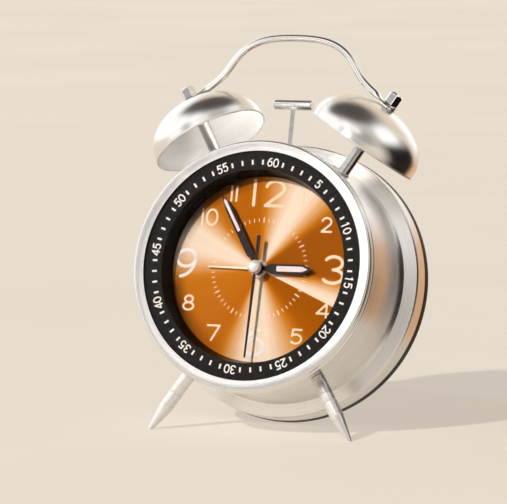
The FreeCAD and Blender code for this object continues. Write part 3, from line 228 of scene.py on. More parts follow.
def faceCoordinates(tree):
    # object coordinates turned and scaled to the face's own millimetres
    seen = addNode(tree, "TexCoord")
    return addNode(tree, "Mapping", {"Vector": seen.outputs["Object"], "Location": tuple(faceMiddle),
                                     "Rotation": (-lean, 0, 0), "Scale": (0.001, 0.001, 0.001)},
                   vector_type="TEXTURE")


coneStretch = 1.31  # how fast the lines pass along the drum's side and shoulder
bareInside = 0.35  # how bare the metal is on a matt inside


def latheGrain(tree):
    # (distance along the profile, x, z) of a CAD piece turned about the face's axis
    split = addNode(tree, "SeparateXYZ", [faceCoordinates(tree)])
    flat = addNode(tree, "CombineXYZ", {"X": split.outputs["X"], "Y": split.outputs["Z"]})
    radius = addNode(tree, "VectorMath.LENGTH", [flat])
    depth = addNode(tree, "Math.MULTIPLY_ADD", [split.outputs["Y"], coneStretch, radius.outputs["Value"]])
    return addNode(tree, "CombineXYZ", [depth, split.outputs["X"], split.outputs["Z"]])


def millimetres(tree):
    # object coordinates in millimetres, for patterns with no direction
    seen = addNode(tree, "TexCoord")
    return addNode(tree, "VectorMath.SCALE", {0: seen.outputs["Object"], "Scale": 1000.0})


def metal(name, look, grainFrom="piece"):
    # a bare metal whose finishing marks run round the piece: fine lines change its gloss and tilt its surface,
    # broad bands shift its tone, and handling leaves faint dull patches
    dark, light, spacing, length, patchSize, (low, high), dulling, relief, *rest = look
    more = dict(*rest)
    material, tree, surface = startMaterial(name, Metallic=more.get("bare", 1.0),
                                            Anisotropic=more.get("drawnOut", 0.0))
    if "drawnOut" in more:
        # the lathe's direction at each point: the face's axis crossed with the way out from it
        seen = addNode(tree, "TexCoord").outputs["Object"]
        away = addNode(tree, "VectorMath.SUBTRACT", [seen, tuple(faceMiddle)])
        turning = addNode(tree, "VectorMath.CROSS_PRODUCT", [tuple(inward), away])
        feed(tree, surface.inputs["Tangent"], turning)
    if grainFrom == "lathe":
        grain = latheGrain(tree)
    elif grainFrom == "block":
        grain = millimetres(tree)
    else:
        grain = addNode(tree, "Attribute", attribute_name="grain").outputs["Vector"]
    fineVector = addNode(tree, "Mapping", {"Vector": grain, "Scale": (1 / spacing, 1 / length, 1 / length)})
    fine = addNode(tree, "TexNoise", {"Vector": fineVector, "Scale": 1.0, "Detail": 3.0, "Roughness": 0.6})
    bandVector = addNode(tree, "Mapping", {"Vector": grain, "Scale": (0.16 / spacing, 0.4 / length, 0.4 / length)})
    bands = addNode(tree, "TexNoise", {"Vector": bandVector, "Scale": 1.0, "Detail": 2.0})
    marks = addNode(tree, "TexNoise", {"Vector": millimetres(tree), "Scale": 1 / patchSize, "Detail": 4.0,
                                       "Roughness": 0.55})
    tone = addNode(tree, "ValToRGB", [bands], stops=[(0.3, dark), (0.7, light)])
    gloss = addNode(tree, "MapRange", [fine, 0.3, 0.7, low, high])
    if "matInside" in more:
        # the profile starts inside, and the inside was left unpolished
        within, extra = more["matInside"]
        run = addNode(tree, "SeparateXYZ", [grain]).outputs["X"]
        inside = addNode(tree, "MapRange", [run, within, within - 0.5, 0.0, extra])
        gloss = addNode(tree, "Math.ADD", [gloss, inside])
        bare = addNode(tree, "MapRange", [inside, 0.0, extra, 1.0, bareInside])
        feed(tree, surface.inputs["Metallic"], bare)
    dull = addNode(tree, "MapRange", [marks, 0.45, 0.75, 0.0, dulling])
    rough = addNode(tree, "Math.ADD", [gloss, dull])
    return finished(material, tree, surface, tone, rough, fine, relief, 0.00003)


def plastic(name, look):
    # moulded plastic: spark-eroded grain as a fine bump, faint mottling, and rubbed patches that shine more
    dark, light, patchSize, gritSize, (low, high), relief, shine = look
    material, tree, surface = startMaterial(name, IOR=1.5, Specular_IOR_Level=shine)
    place = millimetres(tree)
    mottle = addNode(tree, "TexNoise", {"Vector": place, "Scale": 1 / patchSize, "Detail": 3.0})
    tone = addNode(tree, "ValToRGB", [mottle], stops=[(0.3, dark), (0.7, light)])
    grit = addNode(tree, "TexNoise", {"Vector": place, "Scale": 1 / gritSize, "Detail": 2.0})
    rough = addNode(tree, "MapRange", [mottle, 0.3, 0.7, low, high])
    return finished(material, tree, surface, tone, rough, grit, relief, 0.00005)


# each metal's dark and light tone, the spacing and length of its lines and the size of its patches in mm, its
# roughness from and to, what the patches add to that, its relief, and what sets it apart: how bare it is under the
# lacquer, how far the shine is drawn out, and up to where along the profile the inside was left matt
metalLooks = {
    # zinc-plated steel, brushed on the lathe and clear lacquered: a soft white shine drawn out across the lines
    "satinSteel": ("#DEDBD8", "#EAE8E6", 0.22, 14.0, 9.0, (0.19, 0.27), 0.05, 0.14, {"drawnOut": 0.45}),
    # the same steel on the drum and its band, brushed more softly
    "drumSteel": ("#E1DEDA", "#EAE7E4", 0.2, 30.0, 12.0, (0.26, 0.31), 0.04, 0.05, {"drawnOut": 0.4}),
    # the same steel on the legs, where the lines run round the leg
    "legSteel": ("#DEDBD8", "#EAE8E6", 0.22, 7.0, 7.0, (0.18, 0.26), 0.05, 0.14, {"bare": 0.6}),
    # deep-drawn steel bells, satin nickel plated: smooth, with broad soft reflections
    "bellNickel": ("#E2E0DE", "#EAE9E7", 0.4, 22.0, 11.0, (0.19, 0.25), 0.05, 0.03, {"matInside": (33.0, 0.24)}),
    # the bells' posts: nickel-plated bar, a little tarnished
    "postNickel": ("#ADABA8", "#BFBDBA", 0.18, 6.0, 5.0, (0.1, 0.16), 0.05, 0.05),
    # bright nickel-plated bar: tight, clear reflections
    "brightNickel": ("#DEDDDB", "#ECEBE9", 0.18, 6.0, 5.0, (0.08, 0.14), 0.04, 0.05),
    # button over the hands, tumbled bright and clear lacquered: a soft white ball
    "capSteel": ("#F2F1F0", "#FBFAF9", 1.2, 3.0, 2.0, (0.2, 0.26), 0.04, 0.02, {"bare": 0.38}),
    # handle rod, nickel plated and polished along its length: long soft highlights
    "handleNickel": ("#E2E1DF", "#EEEDEB", 0.3, 0.35, 6.0, (0.1, 0.15), 0.04, 0.03),
    # hammer head, chromium plated: the sharpest mirror on the clock
    "chromium": ("#DADADB", "#E8E8E9", 0.2, 8.0, 4.0, (0.05, 0.1), 0.03, 0.03),
}
finish = {name: metal(name, look, "lathe" if name == "drumSteel" else "piece")
          for name, look in metalLooks.items()}

# the same for small pieces whose marks run any way
blockLooks = {
    # hammer's stem, nickel plated and polished
    "stemNickel": ("#DEDDDB", "#ECEBE9", 2.5, 4.0, 6.0, (0.1, 0.16), 0.05, 0.04),
    # alarm hand, stamped brass, gold lacquered: a warm pale gleam
    "goldLacquer": ("#F8DDB4", "#FFEBC9", 0.3, 6.0, 3.0, (0.25, 0.35), 0.05, 0.05),
    # zinc-plated and passivated steel: bluish grey, dull in patches
    "zincPlate": ("#A9ABAE", "#C2C3C4", 0.5, 3.0, 2.5, (0.28, 0.42), 0.12, 0.12),
    # nickel-plated screws and nuts: bright, with fine tool marks
    "screwNickel": ("#BDBCB9", "#D5D4D1", 0.25, 1.5, 1.6, (0.18, 0.3), 0.1, 0.12),
    # spring steel contacts, nickel plated and a little yellow
    "springSteel": ("#B9B2A4", "#CDC7BA", 0.3, 5.0, 2.0, (0.2, 0.32), 0.08, 0.08),
    # laminated silicon steel: dark grey, oily
    "coreSteel": ("#7C7D80", "#97989A", 0.35, 8.0, 2.0, (0.3, 0.45), 0.1, 0.3),
    # enamelled copper wire, 0.3 mm between turns: orange-brown ridges under a glossy varnish
    "coilCopper": ("#A4521F", "#D07A3A", 0.3, 9.0, 1.5, (0.2, 0.34), 0.06, 0.7),
}
finish.update({name: metal(name, look, "block") for name, look in blockLooks.items()})

# each plastic's, ink's or paint's dark and light tone, the size of its patches and of its grit in mm, its
# roughness from and to, its relief and how much it shines
plasticLooks = {
    # ABS cover, moulded black with a fine eroded texture: deep brown-black with a dry sheen
    "blackAbs": ("#120906", "#1C100A", 14.0, 0.45, (0.4, 0.52), 0.5, 0.3),
    # ABS knobs and door, a little glossier where fingers rub
    "rubbedAbs": ("#0D0C0C", "#1B1918", 5.0, 0.4, (0.28, 0.45), 0.3, 0.5),
    # acetal gears: milky white and waxy
    "acetal": ("#DAD7CE", "#EFEDE6", 3.0, 0.3, (0.35, 0.45), 0.1, 0.5),
    # grey structural ABS
    "greyAbs": ("#4B4C4E", "#5A5B5D", 9.0, 0.5, (0.45, 0.6), 0.4, 0.5),
    # white push-button ABS
    "whiteAbs": ("#D5D2CB", "#E8E5DE", 4.0, 0.35, (0.35, 0.5), 0.2, 0.5),
    # screen-printed charcoal ink on card: quite flat and dull
    "charcoalInk": ("#161414", "#1E1C1C", 18.0, 0.25, (0.48, 0.6), 0.2, 0.15),
    # wall round the dial, black ABS from a polished mould: smooth, and so dark that hardly any light comes back
    "wallAbs": ("#050201", "#090402", 10.0, 0.4, (0.16, 0.24), 0.3, 0.02),
    # cream printing ink, thick enough to stand up a little
    "creamInk": ("#EFD2AE", "#F9E2C6", 6.0, 0.3, (0.45, 0.55), 0.15, 0.5),
    # the same ink painted whiter, a painted highlight, for the figures that stand on the painted highlight rays
    "creamInkPaintedHighlight": ("#E9DEDA", "#F4ECE9", 6.0, 0.3, (0.45, 0.55), 0.15, 0.5),
    # white printing ink
    "whiteInk": ("#EDEAE6", "#FBFAF8", 6.0, 0.3, (0.45, 0.55), 0.1, 0.5),
    # grey foil hot stamped on the raised marks, worn at the tops
    "stampedFoil": ("#7C7974", "#A19D97", 1.2, 0.3, (0.45, 0.6), 0.4, 0.5),
    # luminous paint in the hands: chalky pink-white
    "lumePaint": ("#E9D3DA", "#F8EAEE", 2.5, 0.22, (0.6, 0.75), 0.5, 0.5),
    # black lacquer on the stamped hands
    "blackLacquer": ("#1C1514", "#2A201E", 6.0, 0.4, (0.28, 0.38), 0.15, 0.25),
    # green epoxy board
    "epoxyBoard": ("#17532B", "#226B39", 4.0, 0.6, (0.3, 0.45), 0.2, 0.5),
    # sintered ferrite magnet
    "ferrite": ("#2A2827", "#3A3735", 2.0, 0.3, (0.55, 0.7), 0.5, 0.5),
    # printed foil round the cells
    "cellJacket": ("#5E6F84", "#8A97A6", 7.0, 0.8, (0.22, 0.32), 0.05, 0.5),
    # clear lamp lens, milky inside
    "lampLens": ("#D8DEDF", "#EEF2F2", 2.0, 0.5, (0.1, 0.18), 0.05, 0.5),
}
finish.update({name: plastic(name, look) for name, look in plasticLooks.items()})


# the dial's sunburst, painted by the angle clockwise from twelve: copper ink with painted shade, deeper on the right
# and lighter on the left, and cream rays that are painted highlights, the brushed dial's reflection painted in
dialLook = {
    "copper": [(0, "#B9660E"), (58, "#9A5003"), (125, "#9D5103"), (150, "#B36009"), (210, "#B9660E"),
               (255, "#C27016"), (322, "#BA6A13"), (345, "#B46008"), (360, "#B9660E")],
    # the cream of the rays: painted highlight colours
    "glow": [(0.0, "#B46008"), (0.34, "#CA7C24"), (0.6, "#DDAA74"), (0.8, "#EAC6A8"), (1.0, "#F0DAC4")],
    # painted shadow: towards the edge the copper is painted dark brown, most on the upper left, where the bezel and
    # the wall shade the dial
    "paintedShadow": {"from": 31.8, "to": 37.2, "most": 0.86, "tone": "#321206", "round": [
        (0, "#303030"), (18, "#000000"), (185, "#000000"), (205, "#808080"), (225, "#D8D8D8"), (240, "#FFFFFF"),
        (256, "#FFFFFF"), (268, "#989898"), (288, "#989898"), (303, "#FFFFFF"), (340, "#FFFFFF"),
        (360, "#303030")]},
    # painted highlight rays: (the ray begins, is full from, to, and has ended)
    "paintedRays": [(-8, 22, 32, 54), (93, 108, 112.6, 113.4), (136, 168, 184, 208), (252, 284, 298, 324)],
    "lineCount": 300, "gloss": (0.3, 0.42), "metallic": 0.22,
}


def dialPrint():
    # metallic copper ink over a radially brushed plate: it shines in narrow spokes; its cream rays are painted
    # highlights, its tone is painted deeper on the right, and its upper-left edge is a painted shadow
    material, tree, surface = startMaterial("sunburstPrint", Metallic=dialLook["metallic"], Specular_IOR_Level=0.0)
    split = addNode(tree, "SeparateXYZ", [faceCoordinates(tree)])
    angle = addNode(tree, "Math.ARCTAN2", [split.outputs["X"], split.outputs["Z"]])
    degrees = addNode(tree, "Math.MULTIPLY_ADD", [angle, 180 / math.pi, 360.0])
    turned = addNode(tree, "Math.MODULO", [degrees, 360.0])
    share = addNode(tree, "Math.MULTIPLY", [turned, 1 / 360])
    inks = addNode(tree, "ValToRGB", [share], stops=[(a / 360, c) for a, c in dialLook["copper"]])
    shine = 0.0
    for begins, full, fades, ended in dialLook["paintedRays"]:
        place = turned
        if begins < 0:
            # this ray spans twelve, so its angles are counted from minus to plus half a turn
            shifted = addNode(tree, "Math.ADD", [turned, 180.0])
            around = addNode(tree, "Math.MODULO", [shifted, 360.0])
            place = addNode(tree, "Math.ADD", [around, -180.0])
        rise = addNode(tree, "MapRange", [place, begins, full])
        fall = addNode(tree, "MapRange", [place, ended, fades])
        shine = addNode(tree, "Math.MULTIPLY_ADD", [rise, fall, shine])
    # painted highlight: the rays' cream is painted over the copper
    glow = addNode(tree, "ValToRGB", [shine], stops=dialLook["glow"])
    cover = addNode(tree, "Math.MULTIPLY", [shine, 3.0], use_clamp=True)
    paintedRays = addNode(tree, "Mix", {"Factor": cover, 6: inks, 7: glow},
                   data_type="RGBA").outputs[2]
    flat = addNode(tree, "CombineXYZ", {"X": split.outputs["X"], "Y": split.outputs["Z"]})
    # painted shadow: the dial's edge is darkened towards dark brown, most on the upper left
    paintedShadow = dialLook["paintedShadow"]
    reach = addNode(tree, "VectorMath.LENGTH", [flat])
    outer = addNode(tree, "MapRange", [reach.outputs["Value"], paintedShadow["from"], paintedShadow["to"]])
    where = addNode(tree, "ValToRGB", [share], stops=[(a / 360, c) for a, c in paintedShadow["round"]])
    shadowMask = addNode(tree, "Math.MULTIPLY", [outer, where])
    shadowShare = addNode(tree, "Math.MULTIPLY", [shadowMask, paintedShadow["most"]])
    paintedRays = addNode(tree, "Mix", {"Factor": shadowShare, 6: paintedRays, 7: linearColour(paintedShadow["tone"])},
                   data_type="RGBA").outputs[2]
    unit = addNode(tree, "VectorMath.NORMALIZE", [flat])
    spokes = addNode(tree, "TexNoise", {"Vector": unit, "Scale": dialLook["lineCount"] / (2 * math.pi),
                                        "Detail": 4.0, "Roughness": 0.7})
    streak = addNode(tree, "MapRange", [spokes, 0.25, 0.75, 0.9, 1.1])
    colour = addNode(tree, "VectorMath.SCALE", {0: paintedRays, "Scale": streak})
    low, high = dialLook["gloss"]
    rough = addNode(tree, "MapRange", [spokes, 0.3, 0.7, low, high])
    return finished(material, tree, surface, colour, rough, spokes, 0.2, 0.00004)


def clearGlass():
    # float glass with ground edges: coated, so that little of the light comes back
    material, tree, surface = startMaterial("floatGlass", Metallic=1.0, Alpha=0.0018)
    wipe = addNode(tree, "TexNoise", {"Vector": millimetres(tree), "Scale": 0.06, "Detail": 3.0})
    tint = addNode(tree, "ValToRGB", [wipe], stops=[(0.3, "#F1F6F5"), (0.7, "#FFFFFF")])
    feed(tree, surface.inputs["Base Color"], tint)
    rough = addNode(tree, "MapRange", [wipe, 0.35, 0.7, 0.02, 0.06])
    feed(tree, surface.inputs["Roughness"], rough)
    return material


finish.update(sunburstPrint=dialPrint(), floatGlass=clearGlass())
print("materials made")

# CAD pieces that keep their own shape, by their finish; the rest are steel like the drum
kept = {
    "sunburstPrint": "dial_plate", "charcoalInk": "chapter_ring", "blackAbs": "rear_cover",
    "rubbedAbs": "battery_door", "greyAbs": "chassis_frame", "whiteAbs": "alarm_switch light_button",
    "wallAbs": "dial_spacer movement_front movement_rear movement_bridge", "ferrite": "hammer_magnet rotor",
    "epoxyBoard": "circuit_board", "cellJacket": "battery_cells", "lampLens": "led_lamp",
    "blackLacquer": "hour_hand minute_hand", "goldLacquer": "alarm_hand", "stemNickel": "hammer_stem",
    "zincPlate": "leg_nuts post_nuts striker_bracket", "screwNickel": "striker_pin cover_screws",
    "springSteel": "battery_contacts", "coreSteel": "stator striker_core", "coilCopper": "drive_coil striker_coil",
    "acetal": "seconds_wheel third_wheel centre_wheel intermediate_wheel cannon_pinion minute_wheel hour_wheel "
              "alarm_wheel time_set_arbor alarm_set_arbor",
}
for name, piece in nodes.items():
    look = next((look for look, names in kept.items() if name in names.split()), "drumSteel")
    piece.data.materials.clear()
    piece.data.materials.append(finish[look])

# the bezel: a turned ring with a lip in front, a groove in its side and a bead behind that
bezel = {"lipRadius": 46.6, "lip": 0.4, "faceRadius": 50.5, "round": 0.5, "grooveFront": 2.05, "grooveBack": 2.75,
         "groove": 0.5, "bevel": 0.12, "bead": 0.4, "depth": 4.2, "skirt": 49.65,
         "bends": [0.02, 0.12, 0.12, 0.95, 0.1, 0.05, 0.05, 0.05]}
side = bezel["faceRadius"] + bezel["round"]
front, back, deep = bezel["grooveFront"], bezel["grooveBack"], side - bezel["groove"]
beadTurn = np.linspace(-math.pi / 2, math.pi / 2, 9)
bead = np.stack([side + bezel["bead"] * np.cos(beadTurn),
                 (back + bezel["depth"]) / 2 + (bezel["depth"] - back) / 2 * np.sin(beadTurn)], 1)
bezelProfile = np.concatenate([
    softened([(bezel["skirt"], bezel["lip"]), (bezel["lipRadius"], bezel["lip"]), (bezel["lipRadius"], 0.0),
              (side, 0.0), (side, front), (deep, front + bezel["bevel"]), (deep, back - bezel["bevel"]),
              (side, back)], bezel["bends"], closed=False, count=7),
    bead, [(bezel["skirt"], bezel["depth"])]])
addPiece("bezel", turnedSurface(bezelProfile, 256), "satinSteel", "clock", ["bezel_ring"])

# the glass, a flat disc
glass = {"radius": 49.2, "front": 0.46, "back": 1.04, "edge": 0.1}
addPiece("crystal", turnedSurface(
    softened([(0, glass["front"]), (glass["radius"], glass["front"]), (glass["radius"], glass["back"]),
              (0, glass["back"])], glass["edge"], closed=False), 160, ring=False),
    "floatGlass", "clock", ["front_glass"])
print("front made")

# the bells: spun domes of sheet with a rolled rim and a flat seat
bell = {"angle": 31.35, "depth": 24.8, "reach": 63.4, "radius": 24.0, "rise": 16.3, "skirt": 2.5, "wall": 0.8,
        "seat": 3.4, "hole": 1.65, "rim": 1.2, "rimBend": 0.3}


def domeCurve(radius, rise, skirt, smallest, count):
    # r = radius cos t, h = skirt + rise sin t, until the flat seat is reached
    t = np.linspace(0, math.acos(smallest / radius), count)
    return np.stack([radius * np.cos(t), skirt + rise * np.sin(t)], 1)


wide, narrow = bell["radius"], bell["radius"] - bell["wall"]
outerDome = domeCurve(wide, bell["rise"], bell["skirt"], bell["seat"], 40)
innerDome = domeCurve(narrow, bell["rise"] - bell["wall"], bell["skirt"], bell["seat"], 40)
rim = softened([(narrow, bell["rim"]), (narrow, 0.0), (wide, 0.0), (wide, bell["rim"])], bell["rimBend"],
               closed=False)
bellProfile = np.concatenate([[(bell["hole"], innerDome[-1, 1])], innerDome[::-1], rim, outerDome,
                              [(bell["hole"], outerDome[-1, 1])]])
for side, name in ((-1, "bell_left"), (1, "bell_right")):
    origin = clockwise(side * bell["angle"], bell["reach"], bell["depth"])
    axis = clockwise(side * bell["angle"], 1.0, 0.0)
    addPiece(name + "_shell", turnedSurface(bellProfile, 192, origin, axis), "bellNickel", "clock",
             [name])

# posts, washers and nuts on the bells' axes
fitting = {"postRadius": 2.4, "footRadius": 3.0, "foot": 49.77, "footHeight": 0.8, "shoulder": 80.536,
           "washerRadius": 3.2, "washer": 0.7, "nutFront": 83.936, "nutHeight": 5.1, "nutFlats": 5.3,
           "nutTop": 0.8, "nutSharpness": 90, "nutSteps": 96, "chamfer": 0.12, "chamferRise": 1.2, "stud": 1.5,
           "studEnd": 43.0, "studTop": 7.0, "washerStep": 1.5, "washerPlay": 0.1, "bend": 0.15, "washerBend": 0.12}


def hexNut(origin, axis, look):
    # radius (flats/2) / (sum |cos(t - t_i)|^p)^(1/p) over the three pairs of flats, cut by a cone at the top and
    # one at the foot
    side = np.array([0.0, 1.0, 0.0])
    other = np.cross(axis, side)
    steps, power, height = look["nutSteps"], look["nutSharpness"], look["nutHeight"]
    t = np.linspace(0, 2 * math.pi, steps, endpoint=False)
    pairs = np.abs(np.cos(t[:, None] - np.radians([0, 60, 120])[None]))
    hexRadius = look["nutFlats"] / 2 / np.power((pairs ** power).sum(1), 1 / power)
    # rows of points, closer together at the foot
    h = np.concatenate([[0, look["chamfer"], 0.3], np.linspace(0.6, height, 28)])
    face = look["nutTop"] * look["nutFlats"] / 2
    cone = np.minimum(face + (height - h),
                      look["nutFlats"] / math.sqrt(3) - look["chamfer"] + look["chamferRise"] * h)
    r = np.minimum(hexRadius[None], cone[:, None])
    hub = np.zeros((1, steps))
    rows = np.concatenate([hub, r, np.full((1, steps), 0.9 * face), hub])
    h = np.concatenate([[0], h, [height, height]])
    points = origin + h[:, None, None] * axis + rows[..., None] * (np.cos(t)[:, None] * side
                                                                   + np.sin(t)[:, None] * other)
    return gridded(points, np.stack(np.broadcast_arrays(h[:, None], rows * np.cos(t), rows * np.sin(t)), -1))


washers, nuts = [], []
stud, foot, shoulder = fitting["stud"], fitting["foot"], fitting["shoulder"]
for side, name in ((-1, "bell_post_left"), (1, "bell_post_right")):
    origin = clockwise(side * bell["angle"], 0.0, bell["depth"])
    axis = clockwise(side * bell["angle"], 1.0, 0.0)
    post = softened([(0, fitting["studEnd"]), (stud, fitting["studEnd"]), (stud, foot),
                     (fitting["footRadius"], foot), (fitting["footRadius"], foot + 0.5 * fitting["footHeight"]),
                     (fitting["postRadius"], foot + fitting["footHeight"]), (fitting["postRadius"], shoulder),
                     (stud, shoulder), (stud, shoulder + fitting["studTop"]), (0, shoulder + fitting["studTop"])],
                    fitting["bend"], closed=False)
    addPiece(name + "_bar", turnedSurface(post, 64, origin, axis, ring=False), "postNickel", "clock",
             [name])
    hole, edge = stud + fitting["washerPlay"], fitting["washerRadius"]
    for bottom in (shoulder, shoulder + fitting["washerStep"]):
        top = bottom + fitting["washer"]
        washers.append(turnedSurface(softened([(hole, bottom), (edge, bottom), (edge, top), (hole, top)],
                                              fitting["washerBend"]), 64, origin, axis))
    nuts.append(hexNut(origin + fitting["nutFront"] * axis, axis, fitting))
addPiece("bell_washer_rings", joined(washers), "brightNickel", "clock", ["bell_washers"])
addPiece("bell_hex_nuts", joined(nuts), "chromium", "clock", ["bell_nuts"], sharp=24)

# the legs: turned bar with a fine groove and a long cone
leg = {"angle": 33.05, "depth": 15.9, "radius": 2.8, "stud": 1.5, "top": 49.75, "groove": 61.2,
       "grooveWidth": 0.45, "grooveDepth": 0.22, "cone": 68.2, "tip": 79.4, "tipRadius": 1.0, "studEnd": 43.0,
       "past": 3.0, "bends": [0.1, 0.1, 0.1, 0.25, 0.1, 0.05, 0.1, 0.5, 0.02, 0.02, 0.02]}
slope = (leg["radius"] - leg["tipRadius"]) / (leg["tip"] - leg["cone"])
full, thin, halfGroove = leg["radius"], leg["tipRadius"], leg["grooveWidth"] / 2
legProfile = softened([
    (0, leg["studEnd"]), (leg["stud"], leg["studEnd"]), (leg["stud"], leg["top"]), (full, leg["top"]),
    (full, leg["groove"] - halfGroove), (full - leg["grooveDepth"], leg["groove"]),
    (full, leg["groove"] + halfGroove), (full, leg["cone"]), (thin, leg["tip"]),
    (thin - slope * leg["past"] * 0.5, leg["tip"] + leg["past"]), (0, leg["tip"] + leg["past"])],
    leg["bends"], closed=False)
for side, name in ((-1, "leg_left"), (1, "leg_right")):
    axis = clockwise(side * (180 - leg["angle"]), 1.0, 0.0)
    origin = clockwise(0, 0.0, leg["depth"])
    down = axis[0] * across + axis[2] * upFace

    def stopAtFloor(points, down=down):
        # what would pass the floor slides back along the leg until it meets it
        past = np.minimum(points[:, 2:3], 0.0) / down[2]
        return points - past * down
    addPiece(name + "_turned", turnedSurface(legProfile, 72, origin, axis, ring=False), "legSteel",
             "clock", [name], moved=stopAtFloor)

# the handle: the bent rod's right half through these places (across, up), from the crown to past the bell's stud;
# its end is hammered flat and clamped by the nut
handle = {"depth": 24.8, "rod": 1.55, "eye": 3.2, "thin": 0.6, "taper": 5.0, "endRound": 0.15, "half": [
    (0.0, 98.12), (6.0, 97.95), (11.5, 97.3), (16.0, 96.05), (20.0, 94.05), (23.3, 91.4), (25.9, 88.2),
    (28.1, 84.8), (30.5, 81.6), (33.6, 78.6), (37.0, 75.8), (40.25, 73.15), (43.338, 71.139), (46.07, 69.474)]}
knots = np.array(handle["half"])
knots = np.concatenate([(knots * (-1, 1))[:0:-1], knots])
knots = np.concatenate([[2 * knots[0] - knots[1]], knots, [2 * knots[-1] - knots[-2]]])
# between the places b and c, with a before and d after them, the curve is
# (2b + (c - a) f + (2a - 5b + 4c - d) f^2 + (3b - a - 3c + d) f^3) / 2
f = np.linspace(0, 1, 9)[None, :-1, None]
first, second, third, fourth = (knots[i:len(knots) - 3 + i, None] for i in range(4))
centre = ((2 * second + (third - first) * f + (2 * first - 5 * second + 4 * third - fourth) * f ** 2
           + (3 * second - first - 3 * third + fourth) * f ** 3) / 2).reshape(-1, 2)
endTurn = np.linspace(0, math.pi / 2, 12)[:-1]
travel = np.concatenate([[0], np.cumsum(np.linalg.norm(np.diff(centre, axis=0), axis=1))])
whole = travel[-1] + np.linalg.norm(knots[-2] - centre[-1])
atEnds = handle["eye"] * (1 - np.cos(endTurn))
run = np.unique(np.concatenate([travel[(travel > handle["eye"]) & (travel < whole - handle["eye"])], atEnds,
                                whole - atEnds]))
centre = np.concatenate([centre, knots[-2:-1]])
travel = np.append(travel, whole)
centre = np.stack([np.interp(run, travel, centre[:, i]) for i in range(2)], 1)
fromEnd = np.minimum(run, whole - run)
flat = np.clip((fromEnd - 2 * handle["eye"]) / handle["taper"], 0, 1)
flat = flat * flat * (3 - 2 * flat)
halfWide = handle["eye"] + (handle["rod"] - handle["eye"]) * flat
halfWide *= np.sqrt(np.clip(1 - (1 - fromEnd / handle["eye"]).clip(0) ** 2, 0, 1))
halfThick = handle["thin"] + (handle["rod"] - handle["thin"]) * flat
halfThick *= np.clip(fromEnd / handle["endRound"], 0, 1) ** 0.5
heading = np.gradient(centre, axis=0)
heading /= np.linalg.norm(heading, axis=1)[:, None]
outOf = np.stack([-heading[:, 1], heading[:, 0]], 1)
f = np.linspace(0, 2 * math.pi, 32, endpoint=False)
points = np.stack([centre[:, :1] + (halfThick[:, None] * np.sin(f)) * outOf[:, :1],
                   handle["depth"] + halfWide[:, None] * np.cos(f),
                   centre[:, 1:] + (halfThick[:, None] * np.sin(f)) * outOf[:, 1:]], -1)
grain = np.stack(np.broadcast_arrays(run[:, None] / 30, np.cos(f) * 1.5, np.sin(f) * 1.5), -1)
addPiece("handle_rod", gridded(points, grain), "handleNickel", "clock", ["handle"])

# the hammer's head
hammer = {"depth": 29.4, "reach": 71.2, "radius": 2.15, "length": 16.6, "edge": 0.6}
half = hammer["length"] / 2
headProfile = softened([(0, -half), (hammer["radius"], -half), (hammer["radius"], half), (0, half)],
                       hammer["edge"], closed=False, count=6)
head = turnedSurface(headProfile, 72, (0, hammer["depth"], hammer["reach"]), (1, 0, 0), ring=False)
addPiece("hammer_cylinder", head, "chromium", "hammer", ["hammer_head"])

# the button over the hands
cap = {"back": 5.15, "radius": 2.9, "height": 3.1, "skirt": 0.45, "edge": 0.1, "fullness": 0.85}
t = np.linspace(0, math.pi / 2, 20)
capProfile = np.concatenate([[(0, 0), (cap["radius"] - cap["edge"], 0), (cap["radius"], cap["edge"])],
                             np.stack([cap["radius"] * np.cos(t) ** cap["fullness"],
                                       cap["skirt"] + (cap["height"] - cap["skirt"]) * np.sin(t)], 1)])
addPiece("hand_button", turnedSurface(capProfile, 72, (0, cap["back"], 0), (0, -1, 0), ring=False),
         "capSteel", "second", ["hand_cap"])
print("turned metal made")


# numerals and marks are pen strokes
def arc(cx, cz, rx, rz, start, end, count=30):
    a = np.radians(np.linspace(start, end, count))
    return np.stack([cx + rx * np.cos(a), cz + rz * np.sin(a)], 1)


def line(x0, z0, x1, z1):
    return np.array([(x0, z0), (x1, z1)], float)


# strokes on a body of height 1 over its foot line, about the middle of its width
digitStrokes = {
    "0": [arc(0, 0.5, 0.36, 0.5, 90, 450, 60)],
    "1": [line(0, 0, 0, 1)],
    "2": [arc(-0.02, 0.70, 0.33, 0.30, 165, -32), line(0.26, 0.54, -0.34, 0.0), line(-0.34, 0, 0.36, 0)],
    "3": [arc(-0.05, 0.755, 0.29, 0.245, 150, -90), arc(-0.05, 0.255, 0.34, 0.255, 90, -150)],
    "4": [line(0.17, 1, -0.40, 0.27), line(-0.40, 0.27, 0.42, 0.27), line(0.17, 1, 0.17, 0)],
    "5": [line(0.30, 1, -0.20, 1), line(-0.20, 1, -0.25, 0.55), arc(-0.01, 0.33, 0.33, 0.33, 138, -140)],
    "6": [arc(0.22, 0.31, 0.54, 0.69, 98, 180), arc(0, 0.31, 0.32, 0.31, 180, 540, 50)],
    "7": [line(-0.32, 1, 0.34, 1), line(0.34, 1, -0.08, 0)],
    "8": [arc(0, 0.76, 0.24, 0.24, 90, 450, 40), arc(0, 0.26, 0.31, 0.26, 90, 450, 50)],
    "9": [arc(-0.22, 0.69, 0.54, 0.69, -82, 0), arc(0, 0.69, 0.32, 0.31, 0, 360, 50)],
}
flagOne = [line(0, 0, 0, 1), line(0, 1, -0.2, 0.82)]  # the ring's ones have a flag
penStep = 0.25  # mm between the rows of a stroke


